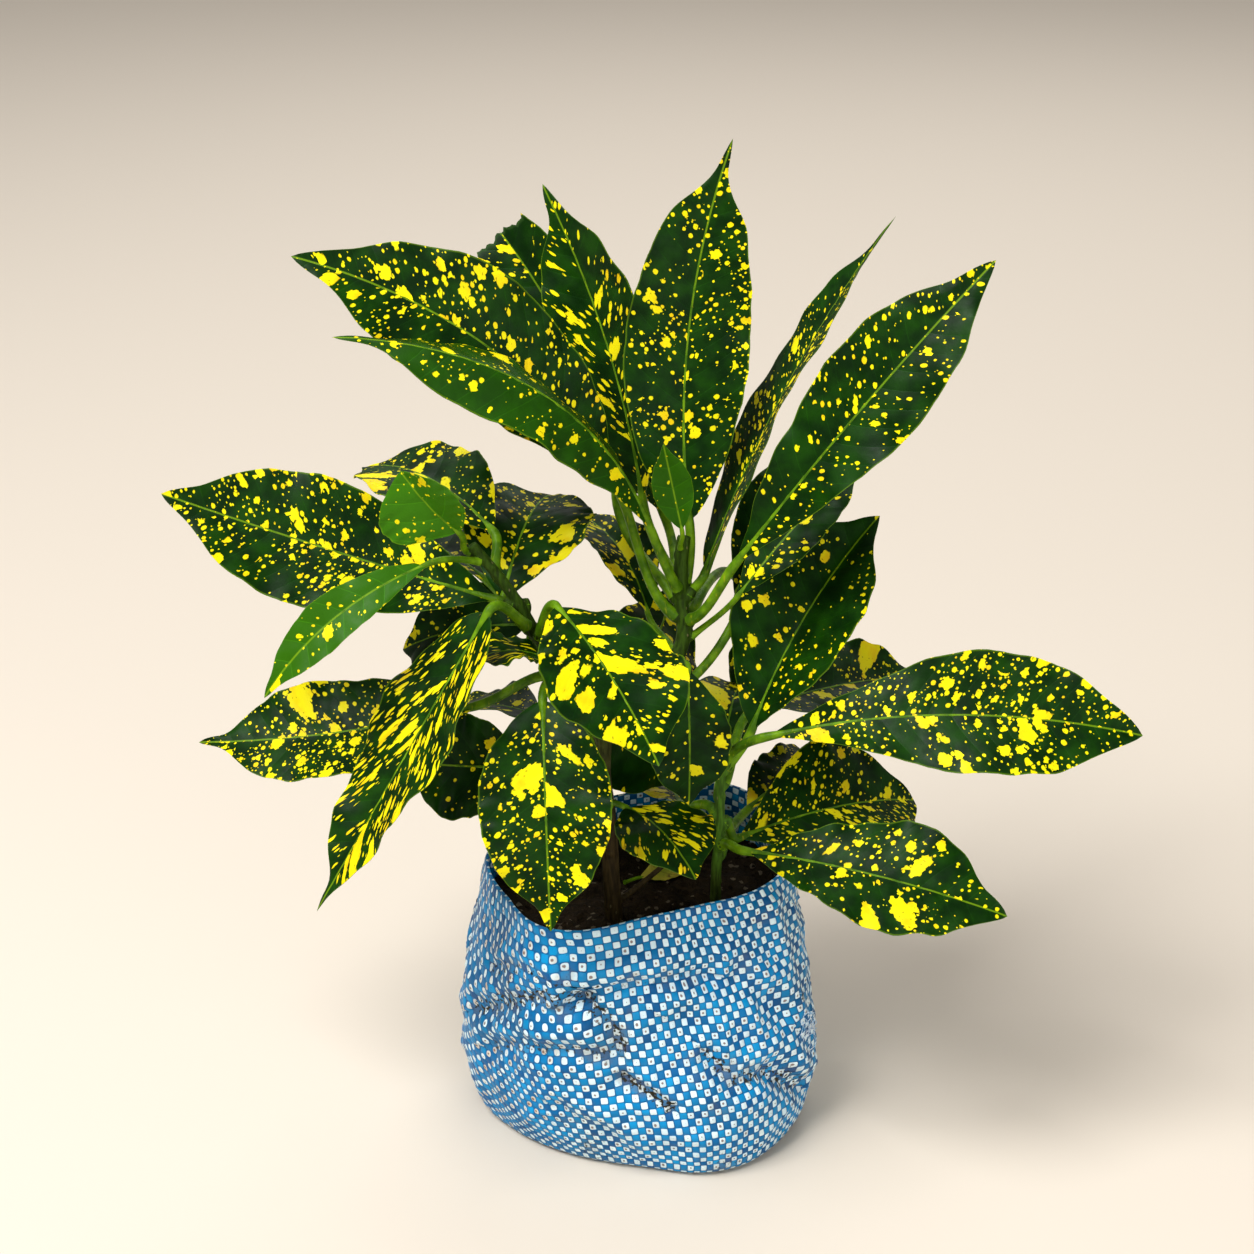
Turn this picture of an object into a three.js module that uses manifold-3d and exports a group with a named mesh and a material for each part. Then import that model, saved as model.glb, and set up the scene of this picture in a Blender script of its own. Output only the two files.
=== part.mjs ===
// A young gold-dust croton, rooted in soil in a cut-down woven plastic sack.
// Millimetres, +Z up. The origin is the centre of the sack's flat base.
import * as THREE from 'three';
import Module from 'manifold-3d';
import { mergeVertices } from 'three/addons/utils/BufferGeometryUtils.js';

const wasm = await Module();
wasm.setup();

// Clearance between pieces that touch
const gap = 0.3;

// Sack: wall distances from the middle every 30 degrees, counted from +X towards +Y
const sackHeight = 105;
const clothThickness = 1.2;
const sackSides = 36;
const sackWalls = [
  { height: 0, radii: [60, 57, 55, 54, 55, 58, 60, 54, 50, 51, 62, 62] },
  { height: 5, radii: [65, 62, 60, 58, 59, 62, 65, 58, 54, 55, 66, 66] },
  { height: 30, radii: [68, 66, 66, 63, 64, 66, 69, 65, 62, 62, 68, 68] },
  { height: 60, radii: [65, 65, 70, 62, 61, 64, 68, 65, 66, 58, 59, 63] },
  { height: 85, radii: [61, 62, 73, 60, 56, 61, 63, 62, 67, 53, 50, 57] },
  { height: sackHeight, radii: [58, 60, 74, 58, 53, 58, 59, 59, 65, 48, 44, 51] },
];

// Soil: its surface lies a little below the rim
const soilLevel = 85;
const soilLump = 1.6;
const soilWaves = { broad: [9, 11], fine: [7, 5], fineShare: 0.6 };
const soilRings = [0.88, 0.7, 0.5, 0.3, 0.12]; // of the top, shares of the way out

// Leaf build: a blade of even thickness, with a rib below it, on a round petiole
const bladeThickness = 0.8;
const petioleRadius = 1.8;
const ribDepth = 0.6; // a share of the petiole's radius
const ribTaper = 0.8; // how much of that depth is lost by the tip
const midribTaper = 0.5; // how much the narrowest blade slims from base to tip
const petioleLean = 50; // degrees that the petiole leans up along its stem
const petioleSpring = 0.3; // how far the petiole runs straight out, a share of its reach
const petioleFlow = 0.35; // how far it runs in line with the blade, a share of its reach
const bladeSteps = 11;
const petioleSteps = 3;
const bladeColumns = 4;
const wavesPerBlade = 2.5;
const sideLag = 2; // radians that the left side's waves run behind the right side's
const plumpness = 0.8; // below 1 the blade's sides are fuller than a sine
const fullest = 0.53; // where the blade is widest, a share of its length
const tipDraw = 0.35; // how much the drawn-out tip is narrowed
const tipStart = 0.78; // the narrowing starts here, a share of the blade's length
const tipFull = 0.93; // and is complete here
const tipEnd = 0.995; // where the shape stops, so that the tip keeps a width

// Stems: the line each one grows along, and its radius from foot to top
const stems = {
  main: {
    line: [[-9, -14, 36], [-10, -15, 88], [-11, -15, 108], [-12, -14, 129], [-14, -12, 150],
      [-12, -9, 163], [0, -6, 175], [11, -3, 186], [16, 0, 198], [15, 2, 212], [15, 3, 226],
      [16, 4, 236]],
    radii: [3.6, 2.6],
    steps: 22,
  },
  left: {
    line: [[-13, -10, 158], [-22, -14, 181], [-34, -20, 200], [-42, -24, 217], [-49, -26, 230],
      [-60, -28, 245]],
    radii: [2.8, 1.9],
    steps: 12,
  },
  right: {
    line: [[29, -7, 36], [29, -9, 86], [29, -11, 106], [30, -12, 124], [30, -11, 140],
      [30, -10, 152], [29, -8, 160]],
    radii: [2.4, 1.7],
    steps: 12,
  },
  twig: {
    line: [[-10, -15, 93], [0, -8, 98], [10, 0, 103]],
    radii: [1.4, 0.9],
    steps: 4,
  },
};
const stemSides = 10;
const stemSearches = 30; // halvings that find a height on a stem

// Leaves: the petiole leaves its stem at a height and a compass angle (0 = +X, 90 = +Y).
// The blade runs from base to tip, is this wide, and its upper side faces one way.
// It arches off the straight line, bows to its right, folds up along the midrib and waves.
// Some have their own petiole lean, widest place, tip draw, or a tip that is cut off.
const leaves = [
  // Crown of the main stem
  { name: 'crown_leaf_1', stem: 'main', height: 216, angle: 60, base: [18, 9, 240], tip: [33, 36, 376],
    width: 46, faces: [0, -1, 0.3], arch: -2, bow: -8, fold: 8, wave: 1.5, widest: 0.45, draw: 0.7 },
  { name: 'crown_leaf_2', stem: 'main', height: 218, angle: 130, base: [1, 28, 241], tip: [-36, 58, 354],
    width: 40, faces: [-0.6, -1, 0.2], arch: 2, bow: 7, fold: 12, wave: 1.5, draw: 0.6 },
  { name: 'crown_leaf_3', stem: 'main', height: 212, angle: 146, base: [-9, 40, 237], tip: [-53, 74, 332],
    width: 34, faces: [-0.2, -1, 0.2], arch: 2, bow: 8, fold: 12, wave: 1, cut: 0.8 },
  { name: 'crown_leaf_4', stem: 'main', height: 206, angle: 195, base: [-10, 6, 257], tip: [-122, -5, 344],
    width: 49, faces: [0.1, -1, 0.7], arch: 14, bow: 10, fold: 10, wave: 2, draw: 0.35, lean: 45 },
  { name: 'crown_leaf_5', stem: 'main', height: 217, angle: 240, base: [4, -9, 243], tip: [-106, -32, 323],
    width: 36, faces: [0.4, -0.5, 1], arch: 26, bow: 2, fold: -28, wave: 1.5, draw: 0.6 },
  { name: 'crown_leaf_6', stem: 'main', height: 213, angle: 5, base: [24, 8, 220], tip: [92, 34, 348],
    width: 38, faces: [-1, -0.15, 0.5], arch: 6, bow: 0, fold: 12, wave: 1, draw: 0.6, widest: 0.42, lean: 54 },
  { name: 'crown_leaf_7', stem: 'main', height: 204, angle: 320, base: [34, -12, 231], tip: [123, -10, 344],
    width: 40, faces: [-0.3, -1, 0.5], arch: 8, bow: 0, fold: 12, wave: 2.5, widest: 0.58, lean: 15 },
  { name: 'crown_leaf_8', stem: 'main', height: 198, angle: 0, base: [36, -2, 215], tip: [82, 18, 262],
    width: 24, faces: [-0.5, -1, 0.6], arch: 4, bow: 0, fold: 12, wave: 1, stalk: 1.1 },
  { name: 'crown_leaf_9', stem: 'main', height: 190, angle: 110, base: [3, 19, 199], tip: [-25, 60, 224],
    width: 30, faces: [0.5, -0.5, 1], arch: 8, bow: 0, fold: 14, wave: 1, stalk: 1.2, lean: 45 },
  { name: 'crown_bud_leaf', stem: 'main', height: 232, angle: 250, base: [15, -5, 242], tip: [8, -11, 277],
    width: 17, faces: [0, -1, 0.2], arch: -1, bow: 0, fold: 30, wave: 0.3, stalk: 0.9 },
  // Left branch
  { name: 'left_leaf_1', stem: 'left', height: 222, angle: 200, base: [-52, -18, 220], tip: [-173, -5, 256],
    width: 50, faces: [0, -1, 0.8], arch: -4, bow: 0, fold: 12, wave: 2, widest: 0.56 },
  { name: 'left_leaf_2', stem: 'left', height: 231, angle: 120, base: [-53, -14, 245], tip: [-104, 42, 249],
    width: 46, faces: [0.4, -0.6, 1], arch: 9, bow: 0, fold: 8, wave: 1.5 },
  { name: 'left_leaf_3', stem: 'left', height: 243, angle: 180, base: [-64, -38, 254], tip: [-83, -42, 278],
    width: 34, faces: [-0.4, -0.9, 0], arch: 2, bow: 0, fold: 35, wave: 0.5, stalk: 1.2 },
  { name: 'left_leaf_4', stem: 'left', height: 218, angle: 60, base: [-50, -14, 218], tip: [-33, 42, 238],
    width: 50, faces: [-0.2, -1, 1], arch: 12, bow: 0, fold: 8, wave: 2 },
  { name: 'left_leaf_5', stem: 'left', height: 240, angle: 225, base: [-74, -40, 243], tip: [-132, -60, 200],
    width: 18, faces: [-0.2, -1, 0.6], arch: 8, bow: 4, fold: 10, wave: 0.8, stalk: 1.2 },
  { name: 'left_leaf_6', stem: 'left', height: 214, angle: 250, base: [-54, -42, 225], tip: [-115, -78, 125],
    width: 40, faces: [-0.8, -0.7, 0.5], arch: 0, bow: 0, fold: 12, wave: 2, widest: 0.4, draw: 0.5 },
  { name: 'left_leaf_7', stem: 'left', height: 208, angle: 310, base: [-30, -34, 224], tip: [6, -92, 189],
    width: 52, faces: [0.1, -0.4, 1], arch: 6, bow: 0, fold: 8, wave: 2 },
  { name: 'left_leaf_8', stem: 'left', height: 190, angle: 280, base: [-35, -44, 192], tip: [-32, -80, 118],
    width: 48, faces: [0, -1, 0.3], arch: 8, bow: 0, fold: 6, wave: 2.5, widest: 0.45, draw: 0.5 },
  { name: 'left_leaf_9', stem: 'left', height: 204, angle: 170, base: [-41, -4, 204], tip: [-89, 10, 188],
    width: 44, faces: [0, -0.6, 1], arch: 5, bow: 0, fold: 8, wave: 1.5 },
  { name: 'left_leaf_10', stem: 'left', height: 190, angle: 180, base: [-62, -6, 172], tip: [-167, 5, 152],
    width: 42, faces: [0, -0.8, 1], arch: 1, bow: -4, fold: 12, wave: 2, draw: 0.6, widest: 0.5 },
  { name: 'left_leaf_11', stem: 'left', height: 199, angle: 235, base: [-33, -30, 201], tip: [-63, -40, 203],
    width: 30, faces: [-0.1, 0, 1], arch: 5, bow: 0, fold: 8, wave: 1.5 },
  { name: 'left_leaf_12', stem: 'left', height: 181, angle: 210, base: [-42, -30, 159], tip: [-87, -36, 164],
    width: 40, faces: [0, -1, 0.25], arch: 4, bow: 0, fold: 8, wave: 2 },
  // Low leaves of the main stem
  { name: 'low_leaf_1', stem: 'main', height: 182, angle: 300, base: [17, -17, 192], tip: [18, -22, 139],
    width: 32, faces: [0.3, -1, 0.4], arch: 2, bow: 0, fold: 8, wave: 1.5 },
  { name: 'low_leaf_2', stem: 'main', height: 136, angle: 300, base: [-5, -24, 139], tip: [20, -58, 127],
    width: 40, faces: [0.2, -0.3, 1], arch: 5, bow: 0, fold: 8, wave: 1, stalk: 1.2 },
  // Right side
  { name: 'right_leaf_1', stem: 'right', height: 152, angle: 330, base: [46, -22, 167], tip: [181, -40, 176],
    width: 48, faces: [0, -1, 0.9], arch: 10, bow: -5, fold: 10, wave: 2, widest: 0.62, draw: 0.2 },
  { name: 'right_leaf_2', stem: 'right', height: 148, angle: 10, base: [42, -4, 162], tip: [89, 20, 238],
    width: 56, faces: [-0.6, -0.8, 0.3], arch: 4, bow: -3, fold: 24, wave: 1.5 },
  { name: 'right_leaf_3', stem: 'main', height: 178, angle: 10, base: [37, 16, 201], tip: [66, 62, 250],
    width: 34, faces: [0, -1, 0.4], arch: 4, bow: 0, fold: 10, wave: 1.5 },
  { name: 'right_leaf_4', stem: 'right', height: 142, angle: 45, base: [46, 20, 160], tip: [114, 66, 152],
    width: 44, faces: [0, -0.5, 1], arch: 4, bow: 0, fold: 10, wave: 2 },
  { name: 'right_leaf_5', stem: 'right', height: 126, angle: 20, base: [37, -8, 118], tip: [109, 42, 109],
    width: 60, faces: [-0.1, -0.8, 1], arch: 8, bow: 0, fold: 8, wave: 2, widest: 0.6, draw: 0.2 },
  { name: 'right_leaf_6', stem: 'right', height: 118, angle: 310, base: [39, -26, 122], tip: [133, -60, 113],
    width: 46, faces: [0, -0.7, 1], arch: 8, bow: 1, fold: 10, wave: 2, widest: 0.6 },
  // A dry leaf that lies on the soil
  { name: 'fallen_leaf', foot: [-6, 14, 87.2], base: [0, 18, 87.3], tip: [20, 36, 88],
    width: 13, faces: [0.3, -0.6, 1], arch: 1, bow: 2, fold: 25, wave: 0.6, stalk: 0.7 },
  // Leaves round the back
  { name: 'crown_leaf_10', stem: 'main', height: 194, angle: 80, base: [15, 44, 201], tip: [3, 97, 134],
    width: 44, faces: [0, -0.8, 0.6], arch: 8, bow: 0, fold: 10, wave: 2 },
  { name: 'crown_leaf_11', stem: 'main', height: 207, angle: 104, base: [9, 48, 228], tip: [-44, 112, 268],
    width: 38, faces: [0.3, -0.6, 1], arch: 14, bow: 0, fold: 10, wave: 2 },
  { name: 'crown_leaf_12', stem: 'main', height: 202, angle: 52, base: [41, 58, 192], tip: [58, 100, 126],
    width: 44, faces: [0, -0.8, 0.6], arch: 8, bow: 0, fold: 10, wave: 2 },
  { name: 'left_leaf_13', stem: 'left', height: 210, angle: 140, base: [-56, 4, 218], tip: [-115, 70, 206],
    width: 42, faces: [0, 0, 1], arch: 10, bow: 0, fold: 10, wave: 2 },
  { name: 'left_leaf_14', stem: 'left', height: 196, angle: 95, base: [-24, 8, 189], tip: [11, 30, 123],
    width: 44, faces: [0, -1, 0.4], arch: 12, bow: 0, fold: 10, wave: 2 },
  { name: 'right_leaf_7', stem: 'right', height: 136, angle: 95, base: [32, 14, 141], tip: [42, 60, 149],
    width: 42, faces: [0, 0, 1], arch: 12, bow: 0, fold: 10, wave: 2 },
  { name: 'right_leaf_8', stem: 'right', height: 130, angle: 140, base: [16, 12, 122], tip: [4, 92, 89],
    width: 44, faces: [0, 0, 1], arch: 6, bow: 0, fold: 10, wave: 2 },
  { name: 'right_leaf_9', stem: 'right', height: 112, angle: 60, base: [42, 20, 116], tip: [90, 80, 100],
    width: 40, faces: [0, 0, 1], arch: 10, bow: 0, fold: 10, wave: 2 },
  { name: 'low_leaf_3', stem: 'main', height: 158, angle: 150, base: [-36, 4, 162], tip: [-88, 56, 128],
    width: 40, faces: [0, 0, 1], arch: 10, bow: 0, fold: 10, wave: 2 },
  { name: 'low_leaf_4', stem: 'main', height: 134, angle: 100, base: [-36, 18, 132], tip: [-72, 76, 102],
    width: 40, faces: [0, 0, 1], arch: 10, bow: 0, fold: 10, wave: 2 },
];

/** A smooth value at one angle from a list of values spaced evenly round the circle. */
function roundTheCircle(values, angle) {
  const count = values.length;
  const place = (((angle / (2 * Math.PI)) % 1) + 1) % 1 * count;
  const index = Math.floor(place);
  const t = place - index;
  const [a, b, c, d] = [-1, 0, 1, 2].map((step) => values[(index + step + count) % count]);
  const bend = 2 * a - 5 * b + 4 * c - d;
  return 0.5 * (2 * b + (c - a) * t + bend * t * t + (3 * b - a - 3 * c + d) * t * t * t);
}

/** The sack's outer wall at one height: its distance from the middle at any angle. */
function wallRadius(height, angle) {
  const upper = Math.max(1, sackWalls.findIndex((wall) => wall.height >= height));
  const [below, above] = [sackWalls[upper - 1], sackWalls[upper]];
  const t = (height - below.height) / (above.height - below.height);
  return THREE.MathUtils.lerp(
    roundTheCircle(below.radii, angle),
    roundTheCircle(above.radii, angle),
    t,
  );
}

/** One ring round the sack, moved inwards by inset and scaled about the middle. */
function sackRing(height, inset, level = () => height, scale = 1) {
  return Array.from({ length: sackSides }, (_, side) => {
    const angle = (2 * Math.PI * side) / sackSides;
    const radius = (wallRadius(height, angle) - inset) * scale;
    const [x, y] = [radius * Math.cos(angle), radius * Math.sin(angle)];
    return new THREE.Vector3(x, y, level(x, y));
  });
}

/**
 * A closed skin through rings of points, each ring anticlockwise as the next one sees it.
 * leansRight says which way the four-sided patch at a side of a ring is split.
 */
function loft(rings, leansRight = () => false) {
  const sides = rings[0].length;
  const positions = rings.flat().flatMap((point) => point.toArray());
  const index = [];
  for (let ring = 0; ring + 1 < rings.length; ring += 1) {
    for (let side = 0; side < sides; side += 1) {
      const next = (side + 1) % sides;
      const [a, b] = [ring * sides + side, ring * sides + next];
      const [c, d] = [b + sides, a + sides];
      index.push(...(leansRight(side, ring) ? [a, b, d, b, c, d] : [a, b, c, a, c, d]));
    }
  }
  for (const [ring, turn] of [[0, -1], [rings.length - 1, 1]]) {
    const middle = positions.length / 3;
    const centre = new THREE.Vector3();
    rings[ring].forEach((point) => centre.addScaledVector(point, 1 / sides));
    positions.push(...centre.toArray());
    for (let side = 0; side < sides; side += 1) {
      const [a, b] = [ring * sides + side, ring * sides + ((side + 1) % sides)];
      index.push(...(turn > 0 ? [a, b, middle] : [b, a, middle]));
    }
  }
  const geometry = new THREE.BufferGeometry();
  geometry.setAttribute('position', new THREE.Float32BufferAttribute(positions, 3));
  geometry.setIndex(index);
  return geometry;
}

/** A tube of changing radius round a curve, with flat ends. */
function tube(curve, steps, radiusAt) {
  const rings = [];
  const across = new THREE.Vector3(1, 0, 0);
  for (let step = 0; step <= steps; step += 1) {
    const t = step / steps;
    const along = curve.getTangentAt(t);
    across.addScaledVector(along, -across.dot(along)).normalize();
    const over = new THREE.Vector3().crossVectors(along, across);
    const centre = curve.getPointAt(t);
    rings.push(Array.from({ length: stemSides }, (_, side) => {
      const angle = (2 * Math.PI * side) / stemSides;
      return centre.clone()
        .addScaledVector(across, Math.cos(angle) * radiusAt(t))
        .addScaledVector(over, Math.sin(angle) * radiusAt(t));
    }));
  }
  return loft(rings);
}

/** A solid that can be joined and cut. */
function solid(geometry) {
  const merged = mergeVertices(geometry, 1e-5);
  return new wasm.Manifold(new wasm.Mesh({
    numProp: 3,
    vertProperties: new Float32Array(merged.attributes.position.array),
    triVerts: new Uint32Array(merged.index.array),
  }));
}

/** The geometry of a joined or cut solid. */
function geometryOf(body) {
  const mesh = body.getMesh();
  const geometry = new THREE.BufferGeometry();
  geometry.setAttribute('position', new THREE.BufferAttribute(mesh.vertProperties, 3));
  geometry.setIndex(new THREE.BufferAttribute(mesh.triVerts, 1));
  return geometry;
}

/** The curve that a stem grows along. */
function stemCurve(name) {
  const points = stems[name].line.map((place) => new THREE.Vector3(...place));
  return new THREE.CatmullRomCurve3(points);
}

/** A stem as a tube, made thicker by extra for the hole that it stands in. */
function stemTube(name, extra = 0) {
  const { radii, steps } = stems[name];
  return tube(stemCurve(name), steps, (t) => THREE.MathUtils.lerp(radii[0], radii[1], t) + extra);
}

/** Where a stem passes one height: the place, its direction and its radius there. */
function stemAt(name, height) {
  const curve = stemCurve(name);
  const { radii } = stems[name];
  let [low, high] = [0, 1];
  for (let turn = 0; turn < stemSearches; turn += 1) {
    const middle = (low + high) / 2;
    if (curve.getPointAt(middle).z < height) {
      low = middle;
    } else {
      high = middle;
    }
  }
  return {
    place: curve.getPointAt(low),
    along: curve.getTangentAt(low),
    radius: THREE.MathUtils.lerp(radii[0], radii[1], low),
  };
}

/** Half the blade's width at t from its base to its tip, as a share of the most. */
function bladeShape(t, widest, draw) {
  const skewed = t ** (Math.log(0.5) / Math.log(widest));
  const narrowing = draw * THREE.MathUtils.smoothstep(t, tipStart, tipFull);
  return Math.sin(Math.PI * skewed) ** plumpness * (1 - narrowing);
}

/** Where the petiole starts, and the way it sets out: leaning up along its stem, or loose. */
function leafFoot(leaf, base, stalk) {
  if (leaf.foot) {
    const foot = new THREE.Vector3(...leaf.foot);
    return { foot, setsOut: base.clone().sub(foot).normalize() };
  }
  const stem = stemAt(leaf.stem, leaf.height);
  const angle = THREE.MathUtils.degToRad(leaf.angle);
  const lean = THREE.MathUtils.degToRad(leaf.lean ?? petioleLean);
  const outward = new THREE.Vector3(Math.cos(angle), Math.sin(angle), 0);
  outward.addScaledVector(stem.along, -outward.dot(stem.along)).normalize();
  const clear = stem.radius + gap + stalk * Math.sin(lean);
  const setsOut = outward.clone().multiplyScalar(Math.cos(lean))
    .addScaledVector(stem.along, Math.sin(lean));
  return { foot: stem.place.clone().addScaledVector(outward, clear), setsOut };
}

/** The directions across and above a curve at t, with across kept near a wanted one. */
function frameOf(curve, t, wanted) {
  const along = curve.getTangent(t);
  const across = wanted.clone().addScaledVector(along, -wanted.dot(along)).normalize();
  return { centre: curve.getPoint(t), across, above: new THREE.Vector3().crossVectors(across, along) };
}

/** A point beside a curve: out across it and lifted above it. */
function beside({ centre, across, above }, out, lift) {
  return centre.clone().addScaledVector(across, out).addScaledVector(above, lift);
}

/** The rings of the round petiole from its foot to just before the blade. */
function petioleRings(petiole, stalk, right) {
  const corners = 2 * (bladeColumns + 1);
  const rings = [];
  let wanted = right;
  for (let step = petioleSteps - 1; step >= 0; step -= 1) {
    const frame = frameOf(petiole, step / petioleSteps, wanted);
    wanted = frame.across;
    rings.unshift(Array.from({ length: corners }, (_, corner) => {
      const turn = Math.PI * (1 - (2 * corner + 1) / corners);
      return beside(frame, stalk * Math.cos(turn), stalk * Math.sin(turn));
    }));
  }
  return rings;
}

/** The rings of the blade: its upper face from left to right, then its lower face back. */
function bladeRings(leaf, midrib, stalk, right) {
  const columns = Array.from({ length: bladeColumns + 1 }, (_, n) => (2 * n) / bladeColumns - 1);
  const fold = THREE.MathUtils.degToRad(leaf.fold);
  const rings = [];
  for (let step = 0; step <= bladeSteps; step += 1) {
    const t = step / bladeSteps;
    const frame = frameOf(midrib, t, right);
    const reached = Math.min(t * (leaf.cut ?? 1), tipEnd);
    const shape = bladeShape(reached, leaf.widest ?? fullest, leaf.draw ?? tipDraw);
    const half = Math.max(stalk * (1 - midribTaper * t), (leaf.width / 2) * shape);
    const rib = ribDepth * stalk * (1 - ribTaper * t);
    const point = (column, offset) => {
      const phase = 2 * Math.PI * wavesPerBlade * t + (column < 0 ? sideLag : 0) + leaf.width;
      const wave = leaf.wave * column ** 2 * Math.sqrt(Math.sin(Math.PI * t)) * Math.sin(phase);
      const lift = half * Math.abs(column) * Math.sin(fold) + wave;
      return beside(frame, half * column * Math.cos(fold), lift + offset);
    };
    const upper = columns.map((column) => point(column, bladeThickness / 2));
    const lower = columns.map((column) => point(column, -bladeThickness / 2 - (column ? 0 : rib)));
    rings.push([...upper, ...lower.reverse()]);
  }
  return rings;
}

/** The skin of one leaf: petiole and blade in one piece. */
function leafGeometry(leaf) {
  const stalk = leaf.stalk ?? petioleRadius;
  const base = new THREE.Vector3(...leaf.base);
  const tip = new THREE.Vector3(...leaf.tip);
  const chord = new THREE.Vector3().subVectors(tip, base).normalize();
  const up = new THREE.Vector3(...leaf.faces);
  up.addScaledVector(chord, -up.dot(chord)).normalize();
  const right = new THREE.Vector3().crossVectors(chord, up);
  const bend = base.clone().lerp(tip, 0.5)
    .addScaledVector(up, 2 * leaf.arch)
    .addScaledVector(right, 2 * leaf.bow);
  const midrib = new THREE.QuadraticBezierCurve3(base, bend, tip);

  const { foot, setsOut } = leafFoot(leaf, base, stalk);
  const reach = foot.distanceTo(base);
  const petiole = new THREE.CubicBezierCurve3(
    foot,
    foot.clone().addScaledVector(setsOut, reach * petioleSpring),
    base.clone().addScaledVector(midrib.getTangent(0), -reach * petioleFlow),
    base,
  );

  // Each four-sided patch is split alike on the upper and the lower face
  const leansRight = (corner) => {
    const isUpper = corner <= bladeColumns;
    const column = isUpper ? corner : 2 * bladeColumns - corner;
    return (column < bladeColumns / 2) === isUpper;
  };
  const rings = [...petioleRings(petiole, stalk, right), ...bladeRings(leaf, midrib, stalk, right)];
  return loft(rings, leansRight);
}

/** A named mesh with its own material. */
function piece(name, geometry, look) {
  const mesh = new THREE.Mesh(geometry, new THREE.MeshStandardMaterial(look));
  mesh.name = name;
  return mesh;
}

/** The woven sack: outer wall from the flat base to the rim, then down inside to its floor. */
function sack() {
  const outer = sackWalls.map((wall) => sackRing(wall.height, 0));
  const inner = sackWalls.slice(1).reverse().map((wall) => sackRing(wall.height, clothThickness));
  const floor = sackRing(sackWalls[0].height, clothThickness, () => clothThickness);
  const look = { color: 0x3f8fc4, roughness: 0.55 };
  const isInner = (side, ring) => ring >= outer.length;
  return piece('sack', loft([...outer, ...inner, floor], isInner), look);
}

/** Potting soil that fills the sack, with a lumpy top and a hole for each stem. */
function soil() {
  const inset = clothThickness + gap;
  const { broad, fine, fineShare } = soilWaves;
  const lumpy = (x, y) => soilLevel
    + soilLump * Math.sin(x / broad[0] + 1) * Math.cos(y / broad[1])
    + soilLump * fineShare * Math.sin(x / fine[0] + y / fine[1]);
  const foot = sackRing(sackWalls[0].height, inset, () => inset);
  const sides = sackWalls.slice(1, -1).map((wall) => sackRing(wall.height, inset));
  const top = soilRings.map((scale) => sackRing(soilLevel, inset, lumpy, scale));
  let body = solid(loft([foot, ...sides, ...top]));
  for (const name of ['main', 'right']) {
    body = body.subtract(solid(stemTube(name, gap)));
  }
  return piece('soil', geometryOf(body), { color: 0x1d1610, roughness: 1 });
}

/** The main stem with the branch that grows from its left side and a bare twig at its foot. */
function mainStem() {
  const body = solid(stemTube('main')).add(solid(stemTube('left'))).add(solid(stemTube('twig')));
  return piece('main_stem', geometryOf(body), { color: 0x4a4a1a, roughness: 0.7 });
}

const plant = new THREE.Group();
plant.add(sack(), soil(), mainStem());
plant.add(piece('right_stem', stemTube('right'), { color: 0x3f5a16, roughness: 0.6 }));
for (const leaf of leaves) {
  plant.add(piece(leaf.name, leafGeometry(leaf), { color: 0x1f4a12, roughness: 0.35 }));
}

export default plant;
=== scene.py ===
import math
import random

import bpy
import numpy as np
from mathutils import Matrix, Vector, noise


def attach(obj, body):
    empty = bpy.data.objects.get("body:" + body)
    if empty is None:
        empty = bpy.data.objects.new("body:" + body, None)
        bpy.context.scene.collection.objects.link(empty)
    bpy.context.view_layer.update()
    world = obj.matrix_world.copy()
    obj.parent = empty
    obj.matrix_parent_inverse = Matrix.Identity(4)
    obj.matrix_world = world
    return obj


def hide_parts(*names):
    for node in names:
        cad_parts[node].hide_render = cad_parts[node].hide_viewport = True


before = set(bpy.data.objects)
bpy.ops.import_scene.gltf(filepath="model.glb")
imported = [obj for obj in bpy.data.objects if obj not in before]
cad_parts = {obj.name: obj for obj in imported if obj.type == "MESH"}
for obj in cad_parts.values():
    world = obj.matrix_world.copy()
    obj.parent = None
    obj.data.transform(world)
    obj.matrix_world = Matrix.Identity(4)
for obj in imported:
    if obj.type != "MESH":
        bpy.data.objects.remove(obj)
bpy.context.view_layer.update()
mm = 0.001
tau = 2 * math.pi


# a value in a node tree, which can be added and multiplied
class Field:
    def __init__(self, tree, socket):
        self.tree = tree
        self.socket = socket
        self.isVector = socket.type in ("VECTOR", "RGBA")

    def __add__(self, other):
        return reckon("ADD", self, other)

    def __radd__(self, other):
        return reckon("ADD", other, self)

    def __sub__(self, other):
        return reckon("SUBTRACT", self, other)

    def __rsub__(self, other):
        return reckon("SUBTRACT", other, self)

    def __mul__(self, other):
        return reckon("MULTIPLY", self, other)

    def __rmul__(self, other):
        return reckon("MULTIPLY", other, self)

    def __truediv__(self, other):
        return reckon("DIVIDE", self, other)

    def __pow__(self, other):
        return reckon("POWER", self, other)

    def __lt__(self, other):
        return reckon("LESS_THAN", self, other)

    def part(self, axis):
        node = self.tree.nodes.new("ShaderNodeSeparateXYZ")
        self.tree.links.new(self.socket, node.inputs[0])
        return Field(self.tree, node.outputs["XYZ".index(axis)])


def reckon(operation, *values):
    tree = next(value.tree for value in values if isinstance(value, Field))
    isVector = any(value.isVector if isinstance(value, Field) else hasattr(value, "__len__")
                   for value in values)
    node = tree.nodes.new("ShaderNodeVectorMath" if isVector else "ShaderNodeMath")
    node.operation = operation
    for socket, value in zip(node.inputs, values):
        if isVector and not isinstance(value, Field) and not hasattr(value, "__len__"):
            value = (value,) * 3
        feed(tree, socket, value)
    isNumber = isVector and operation in ("DOT_PRODUCT", "LENGTH", "DISTANCE")
    return Field(tree, node.outputs["Value" if isNumber else 0])


def feed(tree, socket, value):
    if isinstance(value, Field):
        tree.links.new(value.socket, socket)
    else:
        socket.default_value = value


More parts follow.
